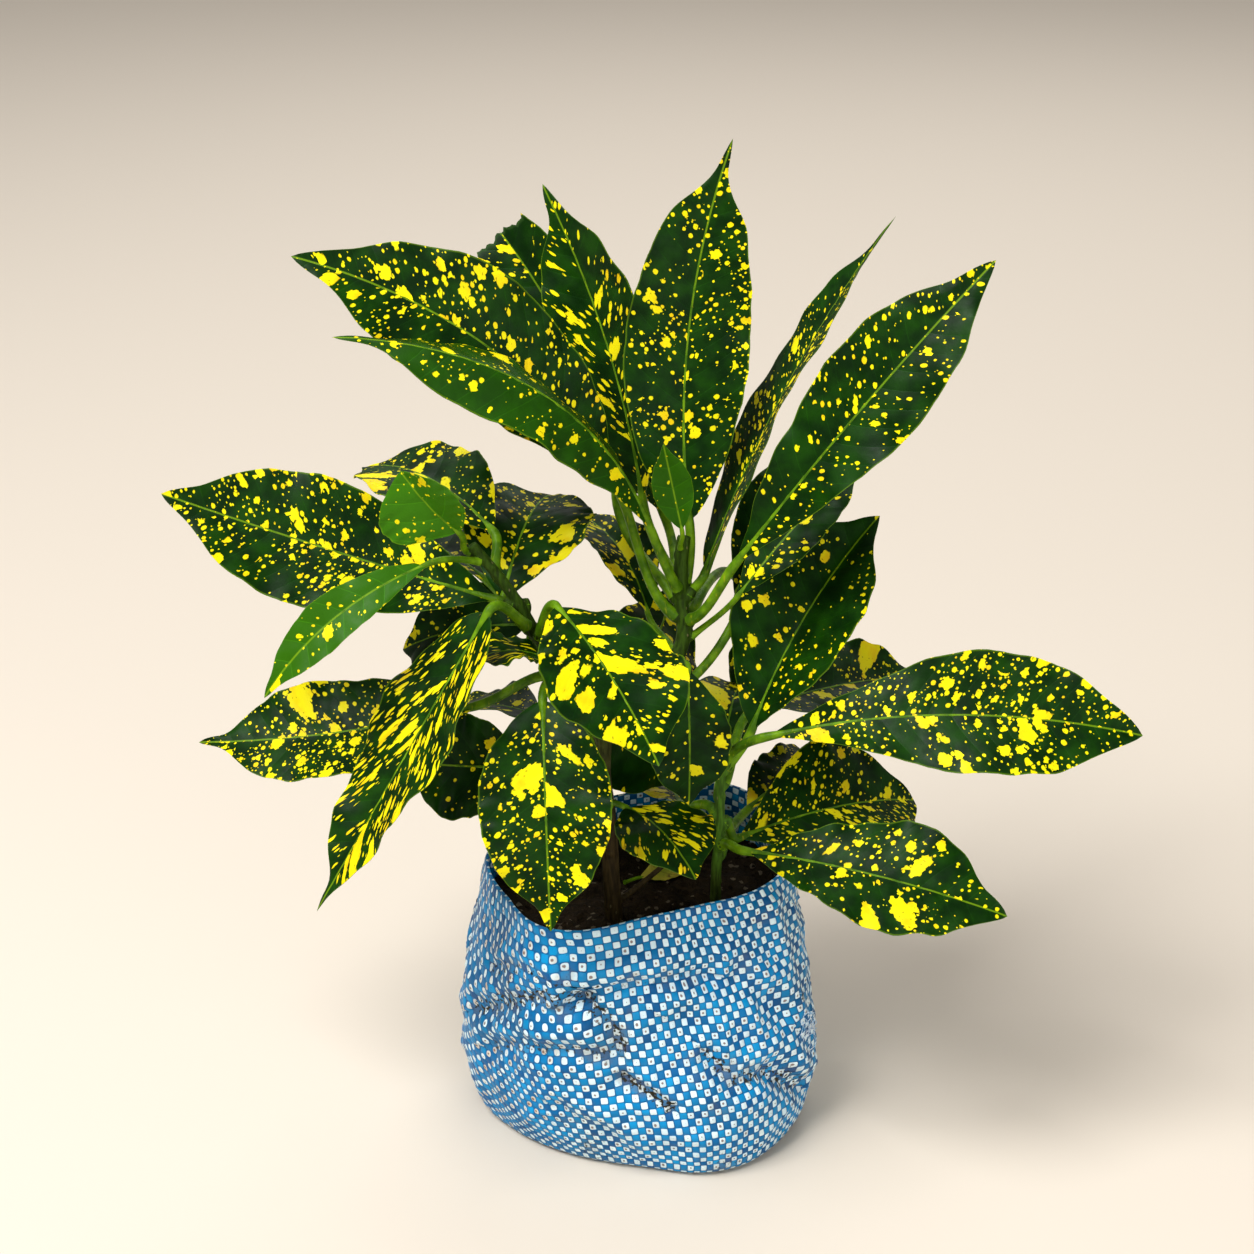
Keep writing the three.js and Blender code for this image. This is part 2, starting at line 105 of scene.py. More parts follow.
def addNode(tree, kind, settings=None, **inputs):
    node = tree.nodes.new(kind)
    for name, value in (settings or {}).items():
        setattr(node, name, value)
    for name, value in inputs.items():
        socket = next(s for s in node.inputs if s.enabled and s.name.replace(" ", "") == name)
        feed(tree, socket, value)
    return node


def field(tree, kind, settings=None, output=0, **inputs):
    return Field(tree, addNode(tree, kind, settings, **inputs).outputs[output])


def shape(tree, kind, settings=None, output=0, **inputs):
    return field(tree, "GeometryNode" + kind, settings, output, **inputs)


def mix(share, a, b):
    if isinstance(a, Field) or isinstance(b, Field):
        return a + (b - a) * share
    if hasattr(a, "__len__"):
        return share * tuple(high - low for low, high in zip(a, b)) + a
    return share * (b - a) + a


def vector(tree, x, y, z):
    return field(tree, "ShaderNodeCombineXYZ", X=x, Y=y, Z=z)


def ramp(value, low, high, start=0.0, end=1.0):
    return field(value.tree, "ShaderNodeMapRange", {"interpolation_type": "SMOOTHSTEP"},
                 Value=value, FromMin=low, FromMax=high, ToMin=start, ToMax=end)


def sineOf(value):
    return reckon("SINE", value)


def sizeOf(value):
    return reckon("ABSOLUTE", value)


def least(a, b):
    return reckon("MINIMUM", a, b)


def most(a, b):
    return reckon("MAXIMUM", a, b)


def unit(value):
    return reckon("NORMALIZE", value)


def squareTo(wanted, along):
    return unit(wanted - along * reckon("DOT_PRODUCT", wanted, along))


def cloudy(place, size, detail=2.0, colour=False):
    return field(place.tree, "ShaderNodeTexNoise", output="Color" if colour else "Fac",
                 Vector=place, Scale=1 / size, Detail=detail)


def cellsOf(place, size, dimensions="3D", randomness=1.0, outputs=("Distance", "Color")):
    # how far away the nearest cell's middle is, and the cell's own colour
    node = addNode(place.tree, "ShaderNodeTexVoronoi", {"voronoi_dimensions": dimensions},
                   Vector=place, Scale=1 / size, Randomness=randomness)
    return [Field(place.tree, node.outputs[name]) for name in outputs]


# geometry trees, and the meshes they leave
def newTree(name, inputs):
    tree = bpy.data.node_groups.new(name, "GeometryNodeTree")
    tree.is_modifier = True
    for label, kind in inputs.items():
        tree.interface.new_socket(name=label, in_out="INPUT", socket_type="NodeSocket" + kind)
    tree.interface.new_socket(name="Geometry", in_out="OUTPUT", socket_type="NodeSocketGeometry")
    source = tree.nodes.new("NodeGroupInput")
    return tree, {label: Field(tree, source.outputs[label]) for label in inputs}


def store(geometry, name, value, kind="FLOAT"):
    return shape(geometry.tree, "StoreNamedAttribute", {"data_type": kind},
                 Geometry=geometry, Name=name, Value=value)


def joined(*parts):
    both = parts[0].tree.nodes.new("GeometryNodeJoinGeometry")
    for part in parts:
        part.tree.links.new(part.socket, both.inputs[0])
    return Field(parts[0].tree, both.outputs[0])


def finishTree(geometry):
    output = geometry.tree.nodes.new("NodeGroupOutput")
    geometry.tree.links.new(geometry.socket, output.inputs[0])


def grow(name, tree, values, start=None):
    # runs a tree on an object and keeps the result as a plain mesh
    thing = bpy.data.objects.new(name, start or bpy.data.meshes.new(name))
    bpy.context.scene.collection.objects.link(thing)
    modifier = thing.modifiers.new("shape", "NODES")
    modifier.node_group = tree
    for item in tree.interface.items_tree:
        if item.item_type == "SOCKET" and item.in_out == "INPUT" and item.name in values:
            modifier[item.identifier] = values[item.name]
    bake(thing)
    return thing


def bake(thing):
    graph = bpy.context.evaluated_depsgraph_get()
    mesh = bpy.data.meshes.new_from_object(
        thing.evaluated_get(graph), preserve_all_data_layers=True, depsgraph=graph)
    thing.modifiers.clear()
    old, thing.data = thing.data, mesh
    if old.users == 0:
        bpy.data.meshes.remove(old)
    mesh.name = thing.name


def meshThing(name, points, faces, material):
    mesh = bpy.data.meshes.new(name)
    mesh.from_pydata([tuple(point) for point in points], [], faces)
    mesh.polygons.foreach_set("use_smooth", [True] * len(mesh.polygons))
    mesh.materials.append(material)
    thing = bpy.data.objects.new(name, mesh)
    bpy.context.scene.collection.objects.link(thing)
    return thing


def ringFaces(rings, sides):
    # the faces between rings of points that follow each other
    faces = []
    for low in range(0, (rings - 1) * sides, sides):
        for side in range(sides):
            after = (side + 1) % sides
            faces.append((low + side, low + after, low + sides + after, low + sides + side))
    return faces


def endFaces(rings, sides):
    # both ends, closed round the two middle points that follow the rings
    first, last = rings * sides, (rings - 1) * sides
    faces = []
    for side in range(sides):
        after = (side + 1) % sides
        faces += [(after, side, first), (last + side, last + after, first + 1)]
    return faces


def tubeMesh(places, radii, sides, relief=lambda height, angle: 0):
    # a closed tube through places, with the relief added to its radius
    points = []
    across = np.array((1.0, 0.0, 0.0))
    for index, (place, radius) in enumerate(zip(places, radii)):
        along = places[min(index + 1, len(places) - 1)] - places[max(index - 1, 0)]
        along = along / np.linalg.norm(along)
        across = across - along * across.dot(along)
        across = across / np.linalg.norm(across)
        over = np.cross(along, across)
        for side in range(sides):
            angle = tau * side / sides
            reach = radius + relief(place[2], angle)
            points.append(place + across * math.cos(angle) * reach + over * math.sin(angle) * reach)
    last = (len(places) - 1) * sides
    ends = [tuple(range(sides))[::-1], tuple(last + side for side in range(sides))]
    return points, ringFaces(len(places), sides) + ends


def addTube(points, faces, tube):
    start = len(points)
    points += [point * mm for point in tube[0]]
    faces += [tuple(start + corner for corner in face) for face in tube[1]]


def dress(thing, node):
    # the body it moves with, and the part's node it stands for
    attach(thing, "root")
    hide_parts(node)


# materials
def newMaterial(name, **fixed):
    material = bpy.data.materials.new(name)
    material.use_nodes = True
    tree = material.node_tree
    shader = tree.nodes["Principled BSDF"]
    for label, value in fixed.items():
        socket = next(s for s in shader.inputs if s.name.replace(" ", "") == label)
        socket.default_value = value
    return material, tree, shader


def coat(shader, colour, relief, depth):
    # the colour, and a bump from the relief
    tree = relief.tree
    bump = field(tree, "ShaderNodeBump", Height=relief, Distance=depth, Strength=1.0)
    feed(tree, shader.inputs["Base Color"], colour)
    feed(tree, shader.inputs["Normal"], bump)


def attribute(tree, name, output="Vector"):
    settings = {"attribute_type": "GEOMETRY", "attribute_name": name}
    return field(tree, "ShaderNodeAttribute", settings, output)


def objectPlace(tree):
    return field(tree, "ShaderNodeTexCoord", output="Object")


bladeLook = {
    "deepGreen": (0.0010, 0.015, 0.0001),
    "midGreen": (0.008, 0.053, 0.0003),
    "youngGreen": (0.040, 0.170, 0.002),
    "paleUnder": (0.05, 0.105, 0.03),
    "underGreen": (0.050, 0.115, 0.020),
    "yellow": (0.84, 0.74, 0.003),
    "gold": (0.80, 0.52, 0.003),
    "underYellow": (0.40, 0.38, 0.05),
    "ribGreen": (0.20, 0.36, 0.006),
    "veinSlant": math.radians(56),
    "streakSlant": math.radians(26),  # streaks lie nearer the midrib
    "veinSpacing": 8.5 * mm,
    "veinSlope": 0.55,  # how far a side vein runs up the leaf for its way out
    "veinCurve": 12,
    "meshSize": 1.3 * mm,  # between the smallest veins, which bound the spots
    "clusterSize": 15 * mm,
    # spots: the cell, the smallest and largest as shares of it, how ragged and how finely, the soft edge
    "specks": (2.0 * mm, 0.12, 0.30, 0.2 * mm, 1.0 * mm, 0.10),
    "dots": (3.1 * mm, 0.10, 0.36, 0.35 * mm, 1.4 * mm, 0.07),
    "splashes": (6.8 * mm, 0.10, 0.36, 0.8 * mm, 3.0 * mm, 0.02),
    "blotches": (12 * mm, 0.14, 0.38, 3.2 * mm, 7 * mm, 0.015),
}


def spotLayer(place, chance, layer):
    # at most one irregular spot to a cell, with its own size
    cell, small, large, ragged, raggedSize, edge = layer
    shake = (cloudy(place, raggedSize, 3.0, colour=True) - 0.5) * (ragged * 2)
    away, pick = cellsOf(place + shake, cell, "2D", 0.9)
    radius = mix(pick.part("Y") ** 1.8, small, large) * (pick.part("X") < chance)
    return ramp(radius - away, 0.0, edge)


def veinRidge(along, out):
    # side veins, which curve towards the tip: 0 on a vein and 1 half way between two
    look = bladeLook
    phase = (along - out * (look["veinSlope"] + out * look["veinCurve"])) / look["veinSpacing"]
    return sizeOf(sineOf(phase * math.pi))


def bladeMaterial():
    material, tree, shader = newMaterial("crotonBlade", SpecularIORLevel=0.09)
    look = bladeLook
    spots = attribute(tree, "leafSpots")
    tint = attribute(tree, "leafTint")
    place = attribute(tree, "leafPlace")
    under = attribute(tree, "underside", "Fac")
    across, along, share = (place.part(axis) for axis in "XYZ")
    fine, blotch, streak = (spots.part(axis) for axis in "XYZ")
    seed, light, youth = (tint.part(axis) for axis in "XYZ")
    isLeft = across < 0.0
    out = sizeOf(across)

    # the spots' own grid follows the veins, and is drawn out where the blade is streaked
    slant = streak * -look["streakSlant"] + look["veinSlant"]
    slope = (sineOf(slant), reckon("COSINE", slant))
    lengthwise = out * slope[0] + along * slope[1]
    crosswise = along * slope[0] - out * slope[1]
    shift = seed * 0.311 + isLeft * 0.137
    grain = vector(tree, lengthwise / (1 + streak * 1.6) + shift,
                   crosswise * (1 + streak * 0.35) + shift * 1.7, 0.0)

    # the larger spots keep to the mesh of small veins, so their outlines are angular
    angular = mix(0.72, grain, cellsOf(grain, look["meshSize"], "2D", outputs=["Position"])[0])
    cluster = cloudy(grain + (0.0, 0.0, 0.4), look["clusterSize"], 1.0)
    spread = ramp(cluster, 0.32, 0.68, 0.25, 1.6)
    specks = spotLayer(grain + 0.17, fine * 0.28 * spread, look["specks"])
    dots = spotLayer(grain, fine * 0.60 * spread, look["dots"])
    splashes = spotLayer(angular + 0.43, fine * 0.46 * spread, look["splashes"])
    blotches = spotLayer(angular * (0.62, 1.0, 1.0) + 0.91, blotch, look["blotches"])
    spotted = most(most(specks, dots), most(splashes, blotches))

    # faint side veins, and the darker green between them
    ridge = veinRidge(along, out)
    vein = ramp(ridge, 0.12, 0.02)
    flat = vector(tree, across, along, seed)
    shade = cloudy(flat, 9 * mm, 3.0)
    green = mix(ramp(shade, 0.3, 0.75) * 0.75, look["deepGreen"], look["midGreen"])
    green = mix(youth, green, look["youngGreen"])
    green = green * (1 + vein * 0.35) * light
    rib = ramp(out, 0.50 * mm, 0.15 * mm) * (1 - spotted * 0.4)
    green = mix(rib * 0.6, green, look["ribGreen"])
    # a paler rim at the blade's edge: partly the leaf's own yellowish margin, partly a painted highlight
    green = mix(ramp(share, 0.965, 0.995) * 0.35, green, look["ribGreen"])
    gold = mix(ramp(cloudy(grain + 0.2, 6 * mm), 0.42, 0.80), look["yellow"], look["gold"])
    speck = ramp(cloudy(grain + 0.6, 0.9 * mm, 0.0), 0.76, 0.80)
    gold = gold * (1 - speck * 0.5)
    top = mix(spotted, green, gold)
    faint = mix(shade, look["paleUnder"], look["underGreen"]) * (1 + vein * 0.4)
    below = mix(spotted * 0.75, faint, look["underYellow"])
    gloss = ramp(cloudy(grain + 0.8, 4 * mm), 0.2, 0.8, 0.36, 0.54)
    feed(tree, shader.inputs["Roughness"], gloss + under * 0.2)
    skin = cloudy(flat, 0.7 * mm, 2.0) * 0.12 + ridge ** 0.5 * 0.35 + spotted * 0.05
    coat(shader, mix(under, top, below), skin, 0.25 * mm)
    return material


dryLook = {
    "green": (0.30, 0.34, 0.02),
    "straw": (0.52, 0.44, 0.04),
    "brown": (0.11, 0.06, 0.015),
    "veinSpacing": 3 * mm,
}


def dryMaterial():
    material, tree, shader = newMaterial("dryBlade", SpecularIORLevel=0.3, Roughness=0.6)
    place = attribute(tree, "leafPlace")
    across, along = place.part("X"), place.part("Y")
    spot = vector(tree, across, along, 0.3)
    colour = mix(ramp(cloudy(spot, 7 * mm, 3.0), 0.35, 0.65), dryLook["green"], dryLook["straw"])
    colour = mix(ramp(cloudy(spot + 0.2, 4 * mm, 3.0), 0.56, 0.66) * 0.8, colour, dryLook["brown"])
    vein = ramp(sizeOf(sineOf((along - sizeOf(across) * 0.6) / dryLook["veinSpacing"])), 0.2, 0.05)
    coat(shader, colour * (1 - vein * 0.3), cloudy(spot, 1.2 * mm, 3.0), 0.4 * mm)
    return material


def stalkMaterial(name, green, dark, warm):
    material, tree, shader = newMaterial(name, Roughness=0.42, SpecularIORLevel=0.12)
    place = objectPlace(tree)
    streaks = cloudy(place * (1.0, 1.0, 0.22), 1.1 * mm, 2.0)
    colour = mix(ramp(cloudy(place, 7 * mm, 3.0), 0.35, 0.7), dark, green)
    colour = mix(ramp(streaks, 0.6, 0.78) * 0.6, colour, warm)
    coat(shader, colour, streaks, 0.25 * mm)
    return material


# the leaf: a blade with its petiole, which runs on under the blade as the midrib
leafBuild = {
    "columns": 20,
    "steps": 64,
    "tubePoints": 60,
    "petioleShare": 0.3,  # of the tube's points
    "tubeSides": 10,
    "thickness": 0.5 * mm,
    "plumpness": 0.8,
    "tipStart": 0.78,
    "tipFull": 0.93,
    "edgeWander": 0.16,
    "waves": 2.5,
    "ripple": (0.38, 3.1),  # small waves at the edge: their share of the height, and how many to each wave
    "petioleSpring": 0.3,
    "petioleFlow": 0.35,
    "quilting": 0.35 * mm,
    "unevenness": 1.2 * mm,
    "creaseWidth": 0.07,
    "ribTaper": (0.20, 0.36, 0.44, 16),  # the tip's share, what goes evenly, what goes early and how fast
    "petioleOff": 0.2,  # mm from the stem's face to the middle of the petiole's foot
    "seedStep": 1.7,
    "sharpAngle": math.radians(55),
}
leafInputs = {
    "Foot": "Vector", "Outward": "Vector", "Base": "Vector", "Tip": "Vector", "Faces": "Vector",
    "Width": "Float", "Arch": "Float", "Bow": "Float", "Fold": "Float", "Wave": "Float",
    "Phase": "Float", "Cut": "Float", "Skew": "Float", "Draw": "Float", "Stalk": "Float", "Seed": "Float",
    "Spots": "Vector", "Tint": "Vector", "Blade look": "Material", "Stalk look": "Material",
}


class Midrib:
    # the curve from the blade's base to its tip, and the directions across and above it
    def __init__(self, given):
        self.base, self.tip = given["Base"], given["Tip"]
        chord = unit(self.tip - self.base)
        up = squareTo(given["Faces"], chord)
        self.right = reckon("CROSS_PRODUCT", chord, up)
        self.bend = (self.base + self.tip) * 0.5 + up * (given["Arch"] * 2) + self.right * (given["Bow"] * 2)

    def at(self, t):
        rest = 1 - t
        return self.base * (rest * rest) + self.bend * (t * rest * 2) + self.tip * (t * t)

    def directions(self, t):
        along = unit((self.bend - self.base) * (1 - t) + (self.tip - self.bend) * t)
        across = squareTo(self.right, along)
        return across, reckon("CROSS_PRODUCT", across, along)


def bladeShape(tree, given, midrib):
    # one grid wrapped round the upper face, the rim and the underside
    build = leafBuild
    seed, fold, wave = given["Seed"], given["Fold"], given["Wave"]
    columns, corners = build["columns"], 2 * build["columns"] + 2
    grid = shape(tree, "MeshGrid", SizeX=1.0, SizeY=1.0,
                 VerticesX=corners + 1, VerticesY=build["steps"] + 1)
    place = shape(tree, "InputPosition")
    corner = reckon("MODULO", reckon("ROUND", (place.part("X") + 0.5) * corners), corners)
    t = place.part("Y") + 0.5
    isUpper = corner < columns + 0.5
    upperPlace = corner * (2 / columns) - 1
    lowerPlace = 1 - (corner - (columns + 1)) * (2 / columns)
    c = lowerPlace + (upperPlace - lowerPlace) * isUpper
    out = sizeOf(c)
    isLeft = c < 0.0

    # its outline, and how far each place on it stands off the midrib's plane
    inner = t * given["Cut"]
    bulge = most(sineOf((inner ** given["Skew"]) * math.pi), 0.0) ** build["plumpness"]
    edgeNoise = cloudy(vector(tree, t * 9, isLeft * 3, seed), 1.0) - 0.5
    narrowing = ramp(inner, build["tipStart"], build["tipFull"]) * given["Draw"]
    half = given["Width"] * 0.5 * bulge * (1 - narrowing) * (1 + edgeNoise * build["edgeWander"])
    turn = given["Phase"] + t * (tau * build["waves"]) + isLeft * 2
    swell = most(sineOf(t * math.pi), 0.0) ** 0.5
    crease = build["creaseWidth"]
    cup = (c * c + crease ** 2) ** 0.5 - crease
    length = reckon("DISTANCE", midrib.tip, midrib.base)
    ridge = veinRidge(t * length, half * out) ** 0.5
    lumps = cloudy(vector(tree, c * 1.3, t * 5, seed * 3.1), 1.0) - 0.5
    rippleShare, rippleCount = build["ripple"]
    lift = (half * cup * sineOf(fold)
            + wave * c * c * swell * sineOf(turn)
            + wave * rippleShare * out ** 3 * swell * sineOf(turn * rippleCount + isLeft)
            + (ridge - 0.65) * (1 - out ** 4) * swell * build["quilting"]
            + lumps * out ** 0.5 * swell * build["unevenness"])
    thin = least(t * 20, 1.0) * least((1 - t) * 30, 1.0) * (1 - out ** 4 * 0.4)
    lift = lift + (isUpper - 0.5) * thin * build["thickness"]
    across, above = midrib.directions(t)

    # a leaf that is cut short has a ragged end
    torn = (1 - given["Cut"]) * (cloudy(vector(tree, c * 2.2, seed, 0.5), 1.0, 3.0) - 0.4)
    ragged = t - torn * t ** 8 * 0.5
    spot = midrib.at(ragged) + across * (half * c * reckon("COSINE", fold)) + above * lift
    blade = store(grid, "leafPlace", vector(tree, half * c, ragged * length, out), "FLOAT_VECTOR")
    blade = store(blade, "underside", 1 - isUpper)
    blade = shape(tree, "SetPosition", Geometry=blade, Position=spot)
    return shape(tree, "MergeByDistance", Geometry=blade, Distance=0.01 * mm)


def petioleShape(tree, given, midrib):
    # a tube from the stem to the blade's base, and along the midrib
    build, foot, base = leafBuild, given["Foot"], midrib.base
    line = shape(tree, "ResampleCurve", Curve=shape(tree, "CurvePrimitiveLine"), Count=build["tubePoints"])
    s = shape(tree, "InputIndex") / (build["tubePoints"] - 1)
    share = build["petioleShare"]
    onPetiole = least(s / share, 1.0)
    onBlade = most((s - share) / (1 - share), 0.0)
    reach = reckon("DISTANCE", foot, base)
    first = foot + given["Outward"] * (reach * build["petioleSpring"])
    second = base - unit(midrib.bend - base) * (reach * build["petioleFlow"])
    left = 1 - onPetiole
    petiole = (foot * left ** 3 + first * (left * left * onPetiole * 3)
               + second * (left * onPetiole * onPetiole * 3) + base * onPetiole ** 3)
    above = midrib.directions(onBlade)[1]
    thinnest, even, quick, rate = build["ribTaper"]
    slim = thinnest + even * (1 - onBlade) + quick * reckon("EXPONENT", onBlade * -rate)
    radius = given["Stalk"] * slim * (1 + left ** 6 * 0.4) * (1 - onBlade ** 10 * 0.9)
    sink = above * (radius * 0.45 * least(onBlade * 12, 1.0))
    tube = shape(tree, "SetPosition", Geometry=line, Position=petiole + midrib.at(onBlade) - base - sink)
    ring = shape(tree, "CurvePrimitiveCircle", Resolution=build["tubeSides"], Radius=1.0)
    tube = shape(tree, "CurveToMesh", Curve=tube, ProfileCurve=ring, Scale=radius, FillCaps=True)
    return store(tube, "isStalk", 1.0)


def leafTree():
    tree, given = newTree("crotonLeaf", leafInputs)
    midrib = Midrib(given)
    whole = joined(petioleShape(tree, given, midrib), bladeShape(tree, given, midrib))
    whole = store(whole, "leafSpots", given["Spots"], "FLOAT_VECTOR")
    whole = store(whole, "leafTint", given["Tint"], "FLOAT_VECTOR")
    whole = shape(tree, "SetShadeSmooth", Geometry=whole)
    whole = shape(tree, "RealizeInstances", Geometry=whole)
    isStalk = reckon("GREATER_THAN", shape(tree, "InputNamedAttribute", Name="isStalk"), 0.5)
    whole = shape(tree, "SetMaterial", Geometry=whole, Material=given["Blade look"])
    whole = shape(tree, "SetMaterial", Geometry=whole, Selection=isStalk, Material=given["Stalk look"])
    finishTree(whole)
    return tree


# the line each stem grows along (mm), and its radius from foot to top
stems = {
    "main": {
        "line": [(-9, -14, 36), (-10, -15, 88), (-11, -15, 108), (-12, -14, 129), (-14, -12, 150),
                 (-12, -9, 163), (0, -6, 175), (11, -3, 186), (16, 0, 198), (15, 2, 212), (15, 3, 226),
                 (16, 4, 236)],
        "radii": (3.6, 2.6),
    },
    "left": {
        "line": [(-13, -10, 158), (-22, -14, 181), (-34, -20, 200), (-42, -24, 217), (-49, -26, 230),
                 (-60, -28, 245)],
        "radii": (2.8, 1.9),
    },
    "right": {
        "line": [(29, -7, 36), (29, -9, 86), (29, -11, 106), (30, -12, 124), (30, -11, 140),
                 (30, -10, 152), (29, -8, 160)],
        "radii": (2.4, 1.7),
    },
    "twig": {
        "line": [(-10, -15, 93), (0, -8, 98), (10, 0, 103)],
        "radii": (1.4, 0.9),
    },
}


def smoothLine(points, perSpan=40):
    # a centripetal curve through the points, as evenly spaced places
    points = [np.array(point, float) for point in points]
    points = [2 * points[0] - points[1], *points, 2 * points[-1] - points[-2]]
    places = []
    for a, b, c, d in zip(points, points[1:], points[2:], points[3:]):
        steps = [np.linalg.norm(end - start) ** 0.5 for start, end in ((a, b), (b, c), (c, d))]
        first = ((b - a) / steps[0] - (c - a) / (steps[0] + steps[1]) + (c - b) / steps[1]) * steps[1]
        last = ((c - b) / steps[1] - (d - b) / (steps[1] + steps[2]) + (d - c) / steps[2]) * steps[1]
        for t in np.linspace(0, 1, perSpan, endpoint=False):
            places.append(b + first * t + (-3 * b + 3 * c - 2 * first - last) * t ** 2
                          + (2 * b - 2 * c + first + last) * t ** 3)
    places.append(points[-2])
    places = np.array(places)
    run = np.concatenate([[0], np.cumsum(np.linalg.norm(np.diff(places, axis=0), axis=1))])
    even = np.linspace(0, run[-1], len(places))
    return np.column_stack([np.interp(even, run, places[:, axis]) for axis in range(3)])


for stem in stems.values():
    stem["places"] = smoothLine(stem["line"])


def stemAt(name, height):
    stem = stems[name]
    places = stem["places"]
    index = int(np.argmax(places[:, 2] >= height))
    along = places[index + 1] - places[index - 1]
    share = index / (len(places) - 1)
    radius = stem["radii"][0] * (1 - share) + stem["radii"][1] * share
    return places[index], along / np.linalg.norm(along), radius


